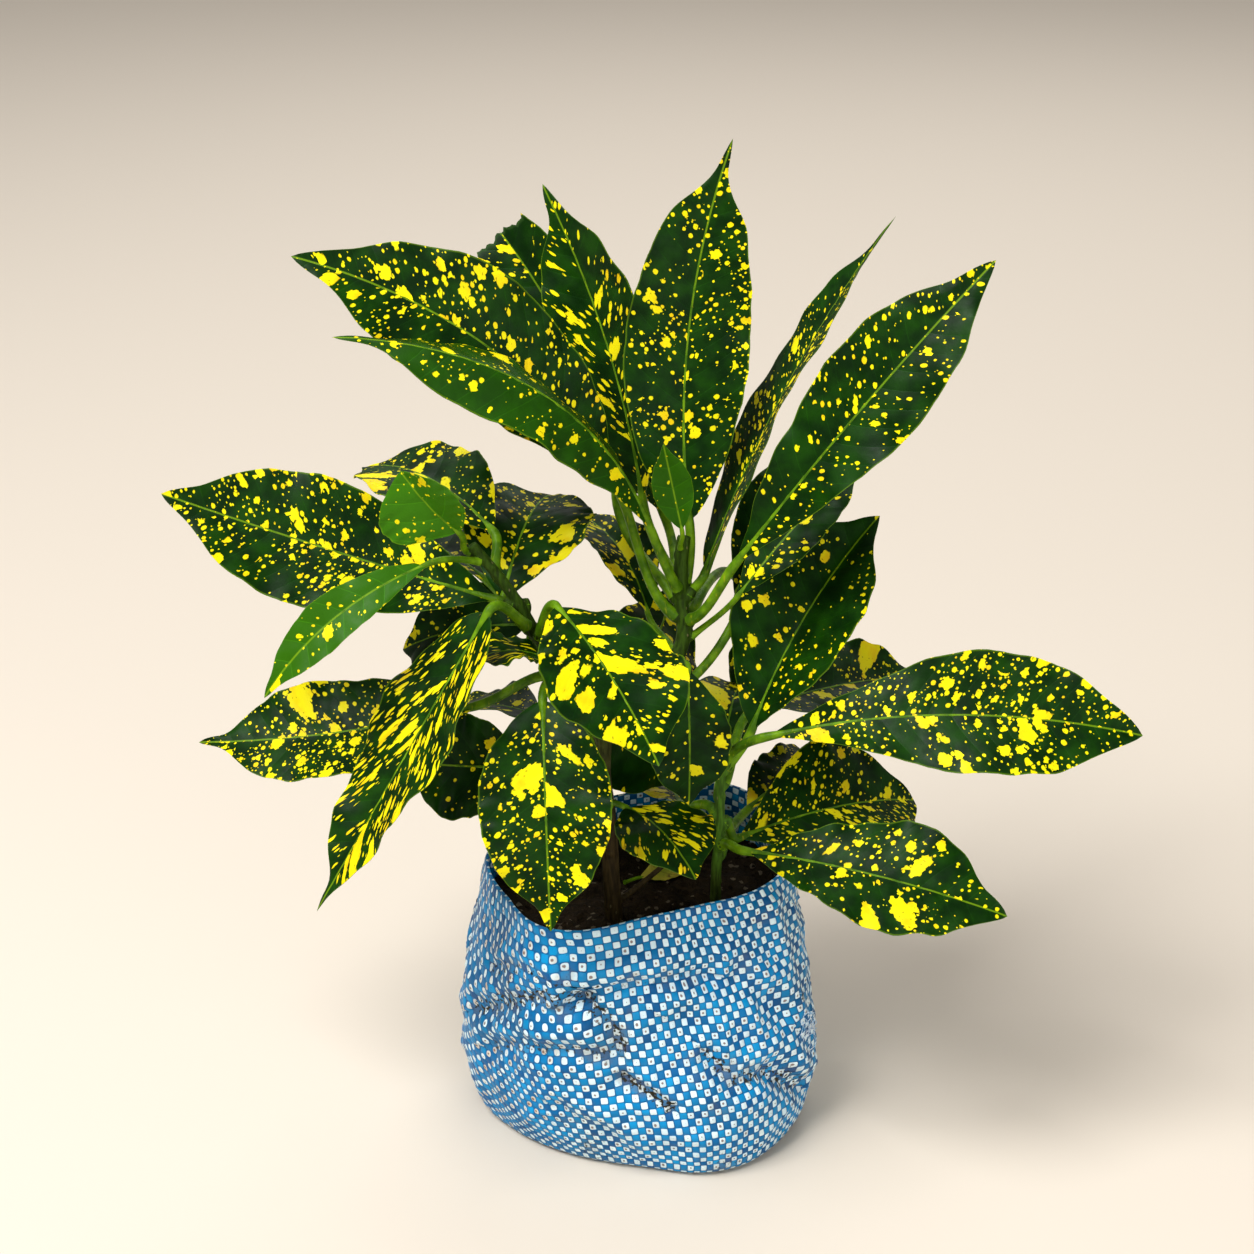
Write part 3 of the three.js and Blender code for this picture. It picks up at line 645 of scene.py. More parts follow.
# leaves, in mm and degrees: height and angle say where the petiole leaves the stem, faces where the blade
# looks, look is (spots, blotches, streaks) and tint is (lightness, youth)
leafColumns = ("name", "stem", "height", "angle", "base", "tip", "width", "faces", "arch", "look")
usualLeaf = dict(lean=50, bow=0, fold=10, wave=2, stalk=1.8, cut=1.0, widest=0.53, draw=0.35, tint=(1.0, 0.0))
leafRows = [
    ("crown_leaf_1", "main", 216, 60, (18, 9, 240), (33, 36, 376), 46, (0, -1, 0.3), -2,
     (0.95, 0, 0.1), dict(bow=-8, fold=8, wave=1.5, widest=0.45, draw=0.7)),
    ("crown_leaf_2", "main", 218, 130, (1, 28, 241), (-36, 58, 354), 40, (-0.6, -1, 0.2), 2,
     (0.85, 0.0, 0.9), dict(bow=7, fold=12, wave=1.5, draw=0.6)),
    ("crown_leaf_3", "main", 212, 146, (-9, 40, 237), (-53, 74, 332), 34, (-0.2, -1, 0.2), 2,
     (0.9, 0.15, 0.5), dict(bow=8, fold=12, wave=1, cut=0.8)),
    ("crown_leaf_4", "main", 206, 195, (-10, 6, 257), (-122, -5, 344), 49, (0.1, -1, 0.7), 14,
     (1.1, 0.05, 0.3), dict(lean=45, bow=10)),
    ("crown_leaf_5", "main", 217, 240, (4, -9, 243), (-106, -32, 323), 36, (0.4, -0.5, 1), 26,
     (0.5, 0.2, 0), dict(bow=2, fold=-28, wave=1.5, draw=0.6, tint=(1.15, 0.15))),
    ("crown_leaf_6", "main", 213, 5, (24, 8, 220), (92, 34, 348), 38, (-1, -0.15, 0.5), 6,
     (0.9, 0, 0.4), dict(lean=54, fold=12, wave=1, widest=0.42, draw=0.6)),
    ("crown_leaf_7", "main", 204, 320, (34, -12, 231), (123, -10, 344), 40, (-0.3, -1, 0.5), 8,
     (0.7, 0.1, 0.3), dict(lean=15, fold=12, wave=2.5, widest=0.58)),
    ("crown_leaf_8", "main", 198, 0, (36, -2, 215), (82, 18, 262), 24, (-0.5, -1, 0.6), 4,
     (0.8, 0.2, 0.3), dict(fold=12, wave=1, stalk=1.1)),
    ("crown_leaf_9", "main", 190, 110, (3, 19, 199), (-25, 60, 224), 30, (0.5, -0.5, 1), 8,
     (1.2, 0.1, 0.3), dict(lean=45, fold=14, wave=1, stalk=1.2)),
    ("crown_bud_leaf", "main", 232, 250, (15, -5, 242), (8, -11, 277), 17, (0, -1, 0.2), -1,
     (0.15, 0, 0), dict(fold=30, wave=0.3, stalk=0.9, tint=(0.9, 0.6))),
    ("left_leaf_1", "left", 222, 200, (-52, -18, 220), (-173, -5, 256), 50, (0, -1, 0.8), -4,
     (1.35, 0.12, 0.2), dict(fold=12, widest=0.56)),
    ("left_leaf_2", "left", 231, 120, (-53, -14, 245), (-104, 42, 249), 46, (0.4, -0.6, 1), 9,
     (0.9, 0.35, 0.2), dict(fold=8, wave=1.5)),
    ("left_leaf_3", "left", 243, 180, (-64, -38, 254), (-83, -42, 278), 38, (-0.4, -0.9, 0), 2,
     (0.6, 0, 0), dict(fold=26, wave=0.5, stalk=1.2, draw=0, tint=(1, 0.9))),
    ("left_leaf_4", "left", 218, 60, (-50, -14, 218), (-33, 42, 238), 50, (-0.2, -1, 1), 12,
     (1.0, 0.15, 0.2), dict(fold=8)),
    ("left_leaf_5", "left", 240, 225, (-74, -40, 243), (-132, -60, 200), 18, (-0.2, -1, 0.6), 8,
     (0.45, 0.1, 0.2), dict(bow=4, wave=0.8, stalk=1.2, tint=(1.1, 0.55))),
    ("left_leaf_6", "left", 214, 250, (-54, -42, 225), (-115, -78, 125), 40, (-0.8, -0.7, 0.5), 0,
     (2.1, 0.35, 1.35), dict(fold=12, widest=0.4, draw=0.5)),
    ("left_leaf_7", "left", 208, 310, (-30, -34, 224), (6, -92, 189), 52, (0.1, -0.4, 1), 6,
     (0.8, 1.1, 0.35), dict(fold=8)),
    ("left_leaf_8", "left", 190, 280, (-35, -44, 192), (-32, -80, 118), 48, (0, -1, 0.3), 8,
     (1.1, 0.6, 0.15), dict(fold=6, wave=2.5, widest=0.45, draw=0.5)),
    ("left_leaf_9", "left", 204, 170, (-41, -4, 204), (-89, 10, 188), 44, (0, -0.6, 1), 5,
     (0.9, 0.25, 0.2), dict(fold=8, wave=1.5)),
    ("left_leaf_10", "left", 190, 180, (-62, -6, 172), (-167, 5, 152), 42, (0, -0.8, 1), 1,
     (2.3, 0.2, 0.1), dict(bow=-4, fold=12, widest=0.5, draw=0.6)),
    ("left_leaf_11", "left", 199, 235, (-33, -30, 201), (-63, -40, 203), 30, (-0.1, 0, 1), 5,
     (1.1, 0.2, 1.6), dict(fold=8, wave=1.5)),
    ("left_leaf_12", "left", 181, 210, (-42, -30, 159), (-87, -36, 164), 40, (0, -1, 0.25), 4,
     (0.6, 0.05, 0.1), dict(fold=8)),
    ("low_leaf_1", "main", 182, 300, (17, -17, 192), (18, -22, 139), 32, (0.3, -1, 0.4), 2,
     (0.5, 0.1, 0.1), dict(fold=8, wave=1.5)),
    ("low_leaf_2", "main", 136, 300, (-5, -24, 139), (20, -58, 127), 40, (0.2, -0.3, 1), 5,
     (1.6, 0, 0.9), dict(fold=8, wave=1, stalk=1.2)),
    ("right_leaf_1", "right", 152, 330, (46, -22, 167), (181, -40, 176), 48, (0, -1, 0.9), 10,
     (1.3, 0.2, 0.1), dict(bow=-5, widest=0.62, draw=0.2)),
    ("right_leaf_2", "right", 148, 10, (42, -4, 162), (89, 20, 238), 56, (-0.6, -0.8, 0.3), 4,
     (0.5, 0.05, 0.1), dict(bow=-3, fold=24, wave=1.5)),
    ("right_leaf_3", "main", 178, 10, (37, 16, 201), (66, 62, 250), 34, (0, -1, 0.4), 4,
     (0.7, 0.15, 0.2), dict(wave=1.5)),
    ("right_leaf_4", "right", 142, 45, (46, 20, 160), (114, 66, 152), 44, (0, -0.5, 1), 4,
     (1, 0.3, 0.3), {}),
    ("right_leaf_5", "right", 126, 20, (37, -8, 118), (109, 42, 109), 60, (-0.1, -0.8, 1), 8,
     (1.5, 0.25, 0.4), dict(fold=8, widest=0.6, draw=0.2)),
    ("right_leaf_6", "right", 118, 310, (39, -26, 122), (133, -60, 113), 46, (0, -0.7, 1), 8,
     (0.8, 0.22, 0.1), dict(bow=1, widest=0.6)),
    ("fallen_leaf", None, 0, 0, (0, 18, 87.3), (20, 36, 88), 13, (0.3, -0.6, 1), 1,
     (0.6, 0.6, 0), dict(foot=(-6, 14, 87.2), bow=2, fold=25, wave=0.6, stalk=0.7)),
    ("crown_leaf_10", "main", 194, 80, (15, 44, 201), (3, 97, 134), 44, (0, -0.8, 0.6), 8,
     (0.8, 0, 0.2), {}),
    ("crown_leaf_11", "main", 207, 104, (9, 48, 228), (-44, 112, 268), 38, (0.3, -0.6, 1), 14,
     (1.0, 0, 0.3), {}),
    ("crown_leaf_12", "main", 202, 52, (41, 58, 192), (58, 100, 126), 44, (0, -0.8, 0.6), 8,
     (0.6, 0, 0.2), {}),
    ("left_leaf_13", "left", 210, 140, (-56, 4, 218), (-115, 70, 206), 42, (0, 0, 1), 10, (1, 0.4, 0.2), {}),
    ("left_leaf_14", "left", 196, 95, (-24, 8, 189), (11, 30, 123), 44, (0, -1, 0.4), 12, (0.4, 0, 0.9), {}),
    ("right_leaf_7", "right", 136, 95, (32, 14, 141), (42, 60, 149), 42, (0, 0, 1), 12, (1, 0.3, 0.2), {}),
    ("right_leaf_8", "right", 130, 140, (16, 12, 122), (4, 92, 89), 44, (0, 0, 1), 6, (1.1, 0.6, 0.3), {}),
    ("right_leaf_9", "right", 112, 60, (42, 20, 116), (90, 80, 100), 40, (0, 0, 1), 10, (1, 0.35, 0.2), {}),
    ("low_leaf_3", "main", 158, 150, (-36, 4, 162), (-88, 56, 128), 40, (0, 0, 1), 10, (0.9, 0.5, 0.2), {}),
    ("low_leaf_4", "main", 134, 100, (-36, 18, 132), (-72, 76, 102), 40, (0, 0, 1), 10, (1.2, 0.4, 0.8), {}),
]
leaves = [{**usualLeaf, **dict(zip(leafColumns, row)), **rest} for *row, rest in leafRows]


def leafFoot(leaf):
    # where the petiole starts, and the way it sets out
    if "foot" in leaf:
        foot = np.array(leaf["foot"], float)
        setsOut = np.array(leaf["base"], float) - foot
        return foot, setsOut / np.linalg.norm(setsOut)
    place, along, radius = stemAt(leaf["stem"], leaf["height"])
    angle, lean = math.radians(leaf["angle"]), math.radians(leaf["lean"])
    outward = np.array((math.cos(angle), math.sin(angle), 0.0))
    outward = outward - along * outward.dot(along)
    outward = outward / np.linalg.norm(outward)
    setsOut = outward * math.cos(lean) + along * math.sin(lean)
    return place + outward * (radius + leafBuild["petioleOff"]), setsOut


tree = leafTree()
blade = bladeMaterial()
dryBlade = dryMaterial()
stalkGreen = stalkMaterial("petioleSkin", (0.15, 0.30, 0.004), (0.045, 0.12, 0.002), (0.30, 0.33, 0.01))
for number, leaf in enumerate(leaves):
    foot, setsOut = leafFoot(leaf)
    seed = number * leafBuild["seedStep"]
    thing = grow(leaf["name"] + "_visual", tree, {
        **{label: leaf[label.lower()] * mm for label in ("Width", "Arch", "Bow", "Wave", "Stalk")},
        "Foot": [x * mm for x in foot], "Outward": [float(x) for x in setsOut],
        "Base": [x * mm for x in leaf["base"]], "Tip": [x * mm for x in leaf["tip"]],
        "Faces": [float(x) for x in leaf["faces"]], "Fold": math.radians(leaf["fold"]),
        "Phase": float(leaf["width"]), "Cut": leaf["cut"], "Draw": float(leaf["draw"]),
        "Skew": math.log(0.5) / math.log(leaf["widest"]),
        "Seed": seed, "Spots": leaf["look"], "Tint": (seed, *leaf["tint"]),
        "Blade look": dryBlade if leaf["name"] == "fallen_leaf" else blade, "Stalk look": stalkGreen,
    })
    thing.data.set_sharp_from_angle(angle=leafBuild["sharpAngle"])
    dress(thing, leaf["name"])
print("leaves:", len(leaves))


# the sack: its wall's distances from the middle (mm) every 30 degrees from +X towards +Y, at each height
sack = {
    "heights": (0, 5, 30, 60, 85, 105),
    "radii": [
        (60, 57, 55, 54, 55, 58, 60, 54, 50, 51, 62, 62),
        (65, 62, 60, 58, 59, 62, 65, 58, 54, 55, 66, 66),
        (68, 66, 66, 63, 64, 66, 69, 65, 62, 62, 68, 68),
        (65, 65, 70, 62, 61, 64, 68, 65, 66, 58, 59, 63),
        (61, 62, 73, 60, 56, 61, 63, 62, 67, 53, 50, 57),
        (58, 60, 74, 58, 53, 58, 59, 59, 65, 48, 44, 51),
    ],
    "wallWay": 107,  # up the cloth from the base's edge to the rim, which is longer than the height
    "edgeWay": (0, 2, 2, 2, 2, 2),  # what the round bottom edge adds to it at each height
    "slope": (0.10, -155, 42),  # the left side's rows slope: how much, the middle's degrees and the reach
    "crowding": (0.22, -145, 38),  # its columns crowd
    "lean": (20, -115, 60),  # and lean, in degrees
    "turn": 3,
    "calmBase": 14,  # folds die out over this height at the base
    "calmRim": (9, 0.2),  # and over this one at the rim, but for this share
    "cellsRound": 134,
    "cellsHigh": 38,
    "perCell": 3,
    "cloth": 0.6,
    "hem": 1.3,
    "hemShare": 0.88,
    "tapeRelief": 0.18,
    "middleRadius": 64,
    "foldStep": 1.3,
    "crumpleRound": 2.6,
    "crumpleHigh": 26,
    "crumple": 1.5,
    "creases": 0.35,
    "rimRound": (0.25, 0.2),  # how the rim is rounded off, outside and inside
    "rimRise": (0.35, 0.3),
    "baseRings": (0.35, 0.7, 0.93),  # shares of the way out from the middle
    "baseRise": 0.6,  # at the base's middle, under it
    "baseTapes": 16,  # from the middle to the edge
    "insideFloor": (0.7, 1.3, 1.5),  # the inner face's height at the wall, half way in and in the middle
    "soilLevel": 85,
    "flatSize": (402, 137),  # the seamed tube's way round, and the wall with the part tucked under
}
# a fold's path in (degrees, height), then its depth and width, the step at it, the roll above it and how dark
# it makes the cloth: partly real dirt, partly painted shade in the crease
folds = [
    ([(-113, 77), (-104, 82), (-91, 82), (-70, 82), (-60, 80)], 2.6, 4.5, 1.2, 2.6, 0.25),
    ([(-158, 54), (-140, 67), (-121, 79), (-114, 77)], 2.4, 5.5, 0.4, 1.6, 0.55),
    ([(-150, 76), (-128, 86), (-116, 84)], 1.8, 4.5, 0, 1.0, 0.4),
    ([(-150, 42), (-130, 52), (-114, 56), (-102, 54)], 2.4, 5, 0, 1.5, 0.4),
    ([(-116, 104), (-114, 92), (-111, 79), (-102, 68), (-98, 57), (-96, 43)], 2.8, 5, 0, 0, 0.2),
    ([(-110, 78), (-104, 71), (-98, 63), (-97, 57)], 0.8, 4.2, 0, 0, 0.62),
    ([(-96, 45), (-87, 40), (-79, 33)], 1.8, 3, 0.8, 0.8, 0.75),
    ([(-119, 27), (-105, 22), (-96, 12)], 1.8, 5, 0, 1.2, 0),
    ([(-64, 50), (-56, 40), (-44, 38), (-25, 22)], 3.4, 5.5, 0.9, 1.8, 0.5),
    ([(-50, 79), (-43, 69), (-33, 56)], 2.2, 6, 0, 1.5, 0),
    ([(-75, 65), (-54, 53), (-37, 37)], 1.8, 7, 0, 1.6, 0),
    ([(-26, 98), (-24, 75), (-20, 47), (-16, 29)], -2.0, 6, 0, 0, 0),
    ([(20, 74), (36, 60), (60, 58)], 2.8, 6, 0.7, 1.5, 0),
    ([(8, 30), (30, 38), (48, 30)], 2.4, 5, 0.5, 1.5, 0),
    ([(66, 92), (84, 70), (90, 44)], 2.6, 6, 0, 1.0, 0),
    ([(104, 52), (124, 44), (150, 48)], 3.0, 6, 0.7, 2.0, 0.3),
    ([(110, 84), (130, 76), (146, 80)], 2.2, 5, 0.5, 1.2, 0),
    ([(160, 92), (172, 70), (176, 40)], 2.2, 6, 0, 0, 0),
    ([(92, 22), (112, 18), (140, 26)], 1.8, 5, 0.4, 1.0, 0),
]
# stains of real dirt: (degrees, height, reach in mm, how dark)
stains = [
    (-40, 36, 6, 0.5), (-34, 31, 6, 0.5), (-26, 27, 4, 0.5), (-138, 78, 7, 0.4), (-22, 60, 4, 0.5),
    (-60, 6, 12, 0.3), (-110, 8, 12, 0.35), (30, 40, 12, 0.4), (75, 60, 10, 0.4), (120, 30, 14, 0.4),
    (150, 60, 10, 0.35),
]


def blend(a, b, c, d, t):
    # a smooth curve from b to c
    return 0.5 * (2 * b + (c - a) * t + (2 * a - 5 * b + 4 * c - d) * t ** 2
                  + (3 * b - a - 3 * c + d) * t ** 3)


def aroundCircle(values, angle):
    values = np.asarray(values, float)
    place = (angle / tau % 1) * len(values)
    index = np.floor(place).astype(int)
    return blend(*(values[(index + step) % len(values)] for step in (-1, 0, 1, 2)), place - index)


def degreesFrom(middle, angle):
    return (np.degrees(angle) - middle + 180) % 360 - 180


def pathAway(path, angle, height):
    # signed distance on the cloth from a path: positive above it
    nearest = np.full(angle.shape, 1e9)
    side = np.ones(angle.shape)
    scale = math.radians(1) * sack["middleRadius"]
    for (angle0, height0), (angle1, height1) in zip(path, path[1:]):
        x = degreesFrom(angle0, angle) * scale
        y = height - height0
        runX, runY = (angle1 - angle0) * scale, height1 - height0
        t = np.clip((x * runX + y * runY) / (runX ** 2 + runY ** 2), 0, 1)
        away = np.hypot(x - runX * t, y - runY * t)
        side = np.where(away < nearest, np.sign(runX * y - runY * x), side)
        nearest = np.minimum(nearest, away)
    return nearest * side


def stainAt(angle, height):
    dark = np.zeros_like(angle)
    for place, level, reach, strength in stains:
        x = degreesFrom(place, angle) * math.radians(1) * sack["middleRadius"]
        dark = np.maximum(dark, strength * np.exp(-(x ** 2 + (height - level) ** 2) / reach ** 2))
    return dark


def bellAt(angle, middle, reach):
    return np.exp(-(degreesFrom(middle, angle) / reach) ** 2)


def rumpleAt(angle, height):
    # sharp ridges between broad hollows, and finer sharp creases in them
    around = sack["crumpleRound"]
    spot = Vector((math.cos(angle) * around, math.sin(angle) * around,
                   height / sack["crumpleHigh"] + angle * 0.3))
    ridge = 1 - abs(noise.noise(spot)) * 2.2
    crease = 1 - abs(noise.noise(spot * 3.7)) * 3
    broad = (ridge * abs(ridge) * 0.9 + noise.noise(spot * 2.3) * 0.7) * sack["crumple"]
    return broad - crease * abs(crease) * sack["creases"]


def wallGrid(angles, shares):
    # places of the outer wall: one row for each share of the way from the base's edge to the rim
    angle, share = np.meshgrid(angles, shares)
    slope, *where = sack["slope"]
    share = share - slope * bellAt(angle, *where) * np.sin(math.pi * share)
    crowding, *where = sack["crowding"]
    crowded = degreesFrom(where[0], angle) * bellAt(angle, *where) * crowding
    lean, *where = sack["lean"]
    leaned = lean * bellAt(angle, *where) * (1 - share)
    turned = angle + np.radians(leaned - crowded - sack["turn"])
    heights = np.array(sack["heights"], float)
    s = np.interp(share * sack["wallWay"], heights + np.array(sack["edgeWay"]), range(len(heights)))
    lower = np.minimum(np.floor(s).astype(int), len(heights) - 2)
    rows, columns = np.indices(s.shape)
    levels = np.array([aroundCircle(radii, turned) for radii in sack["radii"]])
    levels = np.concatenate([2 * levels[:1] - levels[1:2], levels, 2 * levels[-1:] - levels[-2:-1]])
    heights = np.concatenate([[2 * heights[0] - heights[1]], heights, [2 * heights[-1] - heights[-2]]])
    radius = blend(*(levels[lower + step, rows, columns] for step in range(4)), s - lower)
    height = blend(*(heights[lower + step] for step in range(4)), s - lower)
    calmRim, leftAtRim = sack["calmRim"]
    fade = np.clip(height / sack["calmBase"], 0, 1)
    fade = fade * np.clip((sack["wallWay"] - height) / calmRim, leftAtRim, 1)
    dirtAndCreaseShade = stainAt(turned, height)
    for path, depth, width, step, roll, dark in folds:
        away = pathAway(path, turned, height)
        near = np.exp(-(away / width) ** 2)
        above = np.exp(-((away - 1.5 * width) / width) ** 2)
        radius += fade * (near * (step * np.tanh(away / sack["foldStep"]) - depth) + above * roll)
        # each fold darkens the cloth along it: partly real dirt, partly painted shade in the crease
        dirtAndCreaseShade = np.maximum(dirtAndCreaseShade, near * dark)
    radius += fade * np.vectorize(rumpleAt)(turned, height)
    return radius * np.cos(turned), radius * np.sin(turned), height, turned, dirtAndCreaseShade


def sackThing(material):
    per = sack["perCell"]
    around, high = sack["cellsRound"] * per, sack["cellsHigh"] * per
    x, y, z, leaned, dirtAndShadeRows = wallGrid(np.arange(around) * tau / around, np.arange(high + 1) / high)
    length = np.hypot(x, y)
    # the tapes: every crossing is a small pillow, low along the cell's edges
    raised = (np.arange(high + 1)[:, None] % per > 0) * (np.arange(around)[None, :] % per > 0)
    proud = length + raised * sack["tapeRelief"]
    rows = []

    def addRow(index, radius, height, tapes):
        turn = leaned[index]
        rows.append((radius * np.cos(turn), radius * np.sin(turn), height, dirtAndShadeRows[index], tapes))

    # under the base, up the outside, over the hem, down the inside and in over the base
    for share in sack["baseRings"]:
        addRow(0, length[0] * share, z[0] + sack["baseRise"] * (1 - share), (share - 1) * sack["baseTapes"])
    for row in range(high + 1):
        addRow(row, proud[row], z[row], row / per)
    roundOut, roundIn = sack["rimRound"]
    riseOut, riseIn = sack["rimRise"]
    addRow(-1, length[-1] - roundOut, z[-1] + riseOut, sack["cellsHigh"] + 0.1)
    addRow(-1, length[-1] - sack["hem"] + roundIn, z[-1] + riseIn, sack["cellsHigh"] + 0.3)
    atWall, halfWay, inMiddle = sack["insideFloor"]
    for row in range(high, -1, -2):
        inset = sack["hem"] if row / high > sack["hemShare"] else sack["cloth"]
        addRow(row, length[row] - inset, np.maximum(z[row], atWall), row / per)
    addRow(0, length[0] * 0.6, z[0] * 0 + halfWay, -4)
    points = [(a * mm, b * mm, c * mm) for row in rows for a, b, c in zip(*row[:3])]
    points += [(0, 0, sack["baseRise"] * mm), (0, 0, inMiddle * mm)]
    faces = ringFaces(len(rows), around) + endFaces(len(rows), around)
    cells = np.arange(around + 1) / per
    tapes = []
    for low, high in zip(rows, rows[1:]):
        for left, right in zip(cells, cells[1:]):
            tapes += [(left, low[4]), (right, low[4]), (right, high[4]), (left, high[4])]
    for left in cells[:-1]:
        tapes += [(left, -10), (left, -10), (left, -14)] * 2
    thing = meshThing("sack_visual", points, faces, material)
    layer = thing.data.uv_layers.new(name="weave")
    layer.data.foreach_set("uv", [value for place in tapes for value in place])
    # the stored darkening holds the stains and the painted shade in the folds' creases
    dirtAndCreaseShade = thing.data.attributes.new("dirtAndCreaseShade", "FLOAT", "POINT")
    dirtAndCreaseShade.data.foreach_set("value", [value for row in rows for value in row[3]] + [0.0, 0.0])
    return thing, (x, y, z, leaned)


weaveLook = {
    "blues": ((0.0, 0.095, 0.29), (0.0, 0.29, 0.64)),
    "whites": ((0.66, 0.84, 0.93), (0.80, 0.96, 1.0)),
    "beige": (0.66, 0.46, 0.27),
    "speckBrown": (0.17, 0.08, 0.06),
    "gapBlue": (0.002, 0.07, 0.24),
    # brown soiling and near-black grime: real dirt, and painted shade in the folds' creases
    "soiled": (0.20, 0.13, 0.05),
    "grime": (0.028, 0.024, 0.012),
    "ovalFrom": (-18 * mm, -46 * mm),  # where the cloth turns away, white tapes show as narrow ovals
    "largestSpeck": 0.19,
    "linesAlong": 5,
}


def sackMaterial():
    material, tree, shader = newMaterial("wovenTape", SpecularIORLevel=0.2)
    look = weaveLook
    place = field(tree, "ShaderNodeUVMap", {"uv_map": "weave"})
    dirtAndCreaseShade = attribute(tree, "dirtAndCreaseShade", "Fac")
    body = objectPlace(tree)
    u, v = place.part("X"), place.part("Y")
    cellU, cellV = reckon("FLOOR", u), reckon("FLOOR", v)
    isWhite = reckon("MODULO", cellU + cellV + 200, 2.0)
    fromU, fromV = u - cellU - 0.5, v - cellV - 0.5
    luck = addNode(tree, "ShaderNodeTexWhiteNoise", {"noise_dimensions": "2D"},
                   Vector=vector(tree, cellU, cellV, 0.0))
    chance, hue = Field(tree, luck.outputs["Value"]), Field(tree, luck.outputs["Color"])
    hueX, hueY, hueZ = (hue.part(axis) for axis in "XYZ")

    # each cell is a blue or a white tape end, with a darker gap round it
    leftward = ramp(body.part("X"), *look["ovalFrom"])
    square = (fromU ** 6 + fromV ** 6) ** (1 / 6)
    oval = (fromU * fromU * 1.5 + fromV * fromV) ** 0.5
    corner = mix(leftward * isWhite, square, oval)
    gap = ramp(corner, 0.44, 0.50)
    border = ramp(corner, 0.40, 0.46)
    sheen = ramp(cloudy(body, 26 * mm, 2.0), 0.25, 0.75, 0.75, 1.25)
    blue = mix(hueY, *look["blues"]) * sheen
    white = mix(hueZ, *look["whites"])
    beige = ramp(cloudy(body, 13 * mm, 3.0), 0.42, 0.66) * (leftward * 0.7 + 0.15)
    white = mix(beige * hueX, white, look["beige"])

    # a small brown speck in most of the white ones
    inner = ((fromU + (hueX - 0.5) * 0.16) ** 2 + (fromV + (hueY - 0.5) * 0.16) ** 2) ** 0.5
    speckSize = ramp(chance, 0.1, 1.0, 0.0, look["largestSpeck"])
    speck = ramp(inner - speckSize + (cloudy(body, 1.2 * mm) - 0.5) * 0.2, 0.06, -0.05)
    white = mix(speck * 0.85, white, look["speckBrown"])
    colour = mix(isWhite * (1 - border), blue, white)
    colour = mix(gap * 0.45, colour, look["gapBlue"])
    # brown soiling and near-black grime follow the stored darkening: real stains, and painted shade along the
    # folds' creases
    soiled = ramp(cloudy(body, 9 * mm, 4.0) + dirtAndCreaseShade * 0.45, 0.56, 0.90)
    grime = ramp(cloudy(body, 1.5 * mm, 4.0) + dirtAndCreaseShade * 0.27, 0.66, 0.73)
    colour = mix(soiled * 0.38, colour, look["soiled"])
    colour = mix(grime * most(ramp(dirtAndCreaseShade, 0.0, 0.5), 0.06), colour, look["grime"])
    feed(tree, shader.inputs["Roughness"], 0.36 + soiled * 0.4 + hueX * 0.08)

    # each tape arches along its own length, and has fine lines along it
    arch = mix(isWhite, fromV * fromV, fromU * fromU) * -2.2
    flat = mix(isWhite, fromU ** 4, fromV ** 4) * -4
    lines = sineOf(mix(isWhite, u, v) * (tau * look["linesAlong"])) * 0.03
    height = arch + flat + lines - gap * 0.6 + cloudy(body, 0.8 * mm) * 0.15
    coat(shader, colour, height, 0.28 * mm)
    return material


soil = {
    "rings": 44,
    "sides": (15, 82, 6),  # heights (mm), from, to and step
    "sideSpan": 5,
    "sideGap": 1.8,
    "lumps": (1.6, 0.96, 1.7),  # broad, middling and fine
    "mounds": ((-10, -15), (29, -9)),  # at the stems' feet
    "moundHeight": 2.2,
    "moundReach": 60,  # squared
    "crumbs": 1500,
    "crumbSize": 1.5 * mm,
    "darkest": (0.004, 0.0028, 0.0012),
    "brown": (0.036, 0.022, 0.010),
    "paleCrumb": (0.20, 0.16, 0.11),
}


def soilHeight(x, y):
    broad, middling, fine = soil["lumps"]
    lumpy = broad * math.sin(x / 9 + 1) * math.cos(y / 11) + middling * math.sin(y / 5 + x / 7)
    rough = noise.fractal(Vector((x, y, 3)) / 6, 0.8, 2.1, 4) * fine
    mound = sum(soil["moundHeight"] * math.exp(-((x - a) ** 2 + (y - b) ** 2) / soil["moundReach"])
                for a, b in soil["mounds"])
    return sack["soilLevel"] + lumpy + rough + mound


def crumbTree():
    inputs = {"Geometry": "Geometry", "Amount": "Float", "Size": "Float", "Look": "Material"}
    tree, given = newTree("soilCrumbs", inputs)
    points = shape(tree, "DistributePointsOnFaces", {"distribute_method": "RANDOM"},
                   Mesh=given["Geometry"], Density=given["Amount"], Seed=4)
    ball = shape(tree, "MeshIcoSphere", Radius=1.0, Subdivisions=2)
    size = field(tree, "FunctionNodeRandomValue", {"data_type": "FLOAT"}, 1, Min=0.0, Max=1.0, Seed=7)
    size = size ** 3 * 1.25 + 0.25
    turns = field(tree, "FunctionNodeRandomValue", {"data_type": "FLOAT_VECTOR"},
                  Max=(tau, tau, tau), Seed=2)
    flat = vector(tree, size, size * 0.85, size * 0.62) * given["Size"]
    crumbs = shape(tree, "InstanceOnPoints", Points=points, Instance=ball, Rotation=turns, Scale=flat)
    crumbs = shape(tree, "RealizeInstances", Geometry=crumbs)
    shake = (cloudy(shape(tree, "InputPosition"), 1.3 * mm, 2.0, colour=True) - 0.5) * (1.5 * mm)
    crumbs = shape(tree, "SetPosition", Geometry=crumbs, Offset=shake)
    whole = shape(tree, "RealizeInstances", Geometry=joined(crumbs, given["Geometry"]))
    finishTree(shape(tree, "SetMaterial", Geometry=whole, Material=given["Look"]))
    return tree


